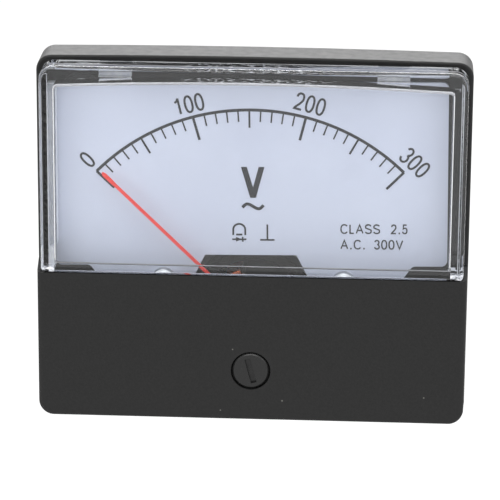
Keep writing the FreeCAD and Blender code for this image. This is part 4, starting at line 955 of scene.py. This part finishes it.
bands = [band("Cathode rings", "#c9c9c2", (-2.6, 4.9), diode_radius, 0.28, diode_axis_y, diode_rows)]
for tint, colour, x in (("red", "#b3261e", -2.5), ("violet", "#5b3a86", -1.3),
                        ("yellow", "#d9b32a", -0.1), ("gold", "#9c7a35", 2.3)):
    bands.append(band("Resistor band " + tint, colour, (x,), 1.6, 0.3, resistor_axis_y, (resistor_z,)))
print("bands:", [piece.name for piece in bands])

# %% [markdown]
# Each wire end that comes through the board is soldered on its back, with a small cone of bright alloy
# that rises from the board to the wire.

# %% Solder on the back of the board
solder = metal("Solder tin lead", "#a9abad", "#c6c8c9", 0.28, 0.6)
board_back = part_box("circuit_board")[1].y / mm
diode_x, diode_reach, resistor_reach = 3.75, 2.45, 5.15
solder_places = [(side * diode_x + end * diode_reach, board_back, z)
                 for side in (-1, 1) for end in (-1, 1) for z in diode_rows]
solder_places += [(side * resistor_reach, board_back, resistor_z) for side in (-1, 1)]
solder_sizes = {"Foot": 0.75 * mm, "Tip": 0.22 * mm, "Height": 0.7 * mm}
solder_tree, given = geometry_tree("solder_joints", solder_sizes)
joint_cone = add(solder_tree, "GeometryNodeMeshCone", {"Vertices": 16, "Side Segments": 3},
                 Radius_Bottom=given["Foot"], Radius_Top=given["Tip"], Depth=given["Height"])
joint_copies = add(solder_tree, "GeometryNodeInstanceOnPoints", {"Rotation": (-math.pi / 2, 0.0, 0.0)},
                   Points=given["Places"], Instance=joint_cone.outputs[0])
solder_mesh = grown(solder_tree, joint_copies.outputs[0], solder, solder_sizes, solder_places)
solder_joints = dressed("solder_joints", [solder_mesh], solder)
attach(solder_joints, "root")
print("solder joints:", len(solder_places))

# %% [markdown]
# ## Light, floor and background
#
# The meter is lit as a product on a white table is: one broad lamp above and in front, one behind, one
# on each side, and a plain white world. The floor lies well below the meter, so its shadow there is
# broad and soft. The background is white for the eye, for reflections and for what is seen through the
# window, and that doesn't change the light on the meter: a white shader is laid over the world and the
# floor on those rays only. On the floor it covers seven tenths, and the rest is lit paint, which keeps
# the shadow.


# %% World
def seen_rays(owner, share):
    """A share on rays from the eye, from reflections and through clear plastic, and 0 on the others."""
    rays = add(owner, "ShaderNodeLightPath").outputs
    seen = combined(owner, "MAXIMUM", rays["Is Camera Ray"], rays["Is Glossy Ray"],
                    rays["Is Transmission Ray"])
    return add(owner, "ShaderNodeMath", {"operation": "MULTIPLY", 1: share}, _0=seen).outputs[0]


white = (1.0, 1.0, 1.0, 1.0)
world = bpy.data.worlds.new("Studio")
bpy.context.scene.world = world
world.use_nodes = True
sky_light = world.node_tree.nodes["Background"]
sky_light.inputs["Color"].default_value = white
sky_light.inputs["Strength"].default_value = 0.46
overlay(world, add(world, "ShaderNodeBackground", {"Color": white, "Strength": 1.0}), seen_rays(world, 1.0))
bpy.context.scene.view_settings.view_transform = "Standard"
print("world:", world.name)


# %% Lamps
def lamp(name, spot, width, height, power):
    """A rectangular area lamp at spot that faces the meter."""
    data = bpy.data.lights.new(name, "AREA")
    data.shape = "RECTANGLE"
    data.size = width
    data.size_y = height
    data.energy = power
    holder = bpy.data.objects.new(name, data)
    bpy.context.scene.collection.objects.link(holder)
    holder.location = spot
    holder.rotation_mode = "QUATERNION"
    holder.rotation_quaternion = (-Vector(spot)).to_track_quat("-Z", "Y")
    return holder


lamps = [lamp("Overhead", (0.0, -0.35, 0.75), 0.9, 0.5, 4.2),
         lamp("Behind", (0.0, 0.6, 0.45), 0.9, 0.4, 5.4),
         lamp("Left", (-0.7, -0.5, 0.25), 0.4, 0.7, 2.1),
         lamp("Right", (0.7, -0.5, 0.25), 0.4, 0.7, 2.1)]
print("lamps, watts:", {holder.name: round(holder.data.energy, 1) for holder in lamps})

# %% Floor
floor_level = -0.12
floor_half = 1.5
floor_glow = 0.7
floor_mesh = bpy.data.meshes.new("Floor")
floor_mesh.from_pydata([(x * floor_half, y * floor_half, floor_level)
                        for x, y in ((-1, -1), (1, -1), (1, 1), (-1, 1))], [], [(0, 1, 2, 3)])
floor = bpy.data.objects.new("Floor", floor_mesh)
bpy.context.scene.collection.objects.link(floor)
floor_paint = material("Paper matt white", Base_Color=linear("#f2f2f2"), Roughness=0.9)
overlay(floor_paint, add(floor_paint, "ShaderNodeEmission", {"Color": white, "Strength": 1.0}),
        seen_rays(floor_paint, floor_glow))
floor_mesh.materials.append(floor_paint)
floor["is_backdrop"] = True
print("floor at z =", floor_level, "m")

# %% Sizes
seen_low, seen_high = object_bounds()
growth = list(cad_low - seen_low) + list(seen_high - cad_high)
print("size grew by mm:", [round(v / mm, 3) for v in growth])
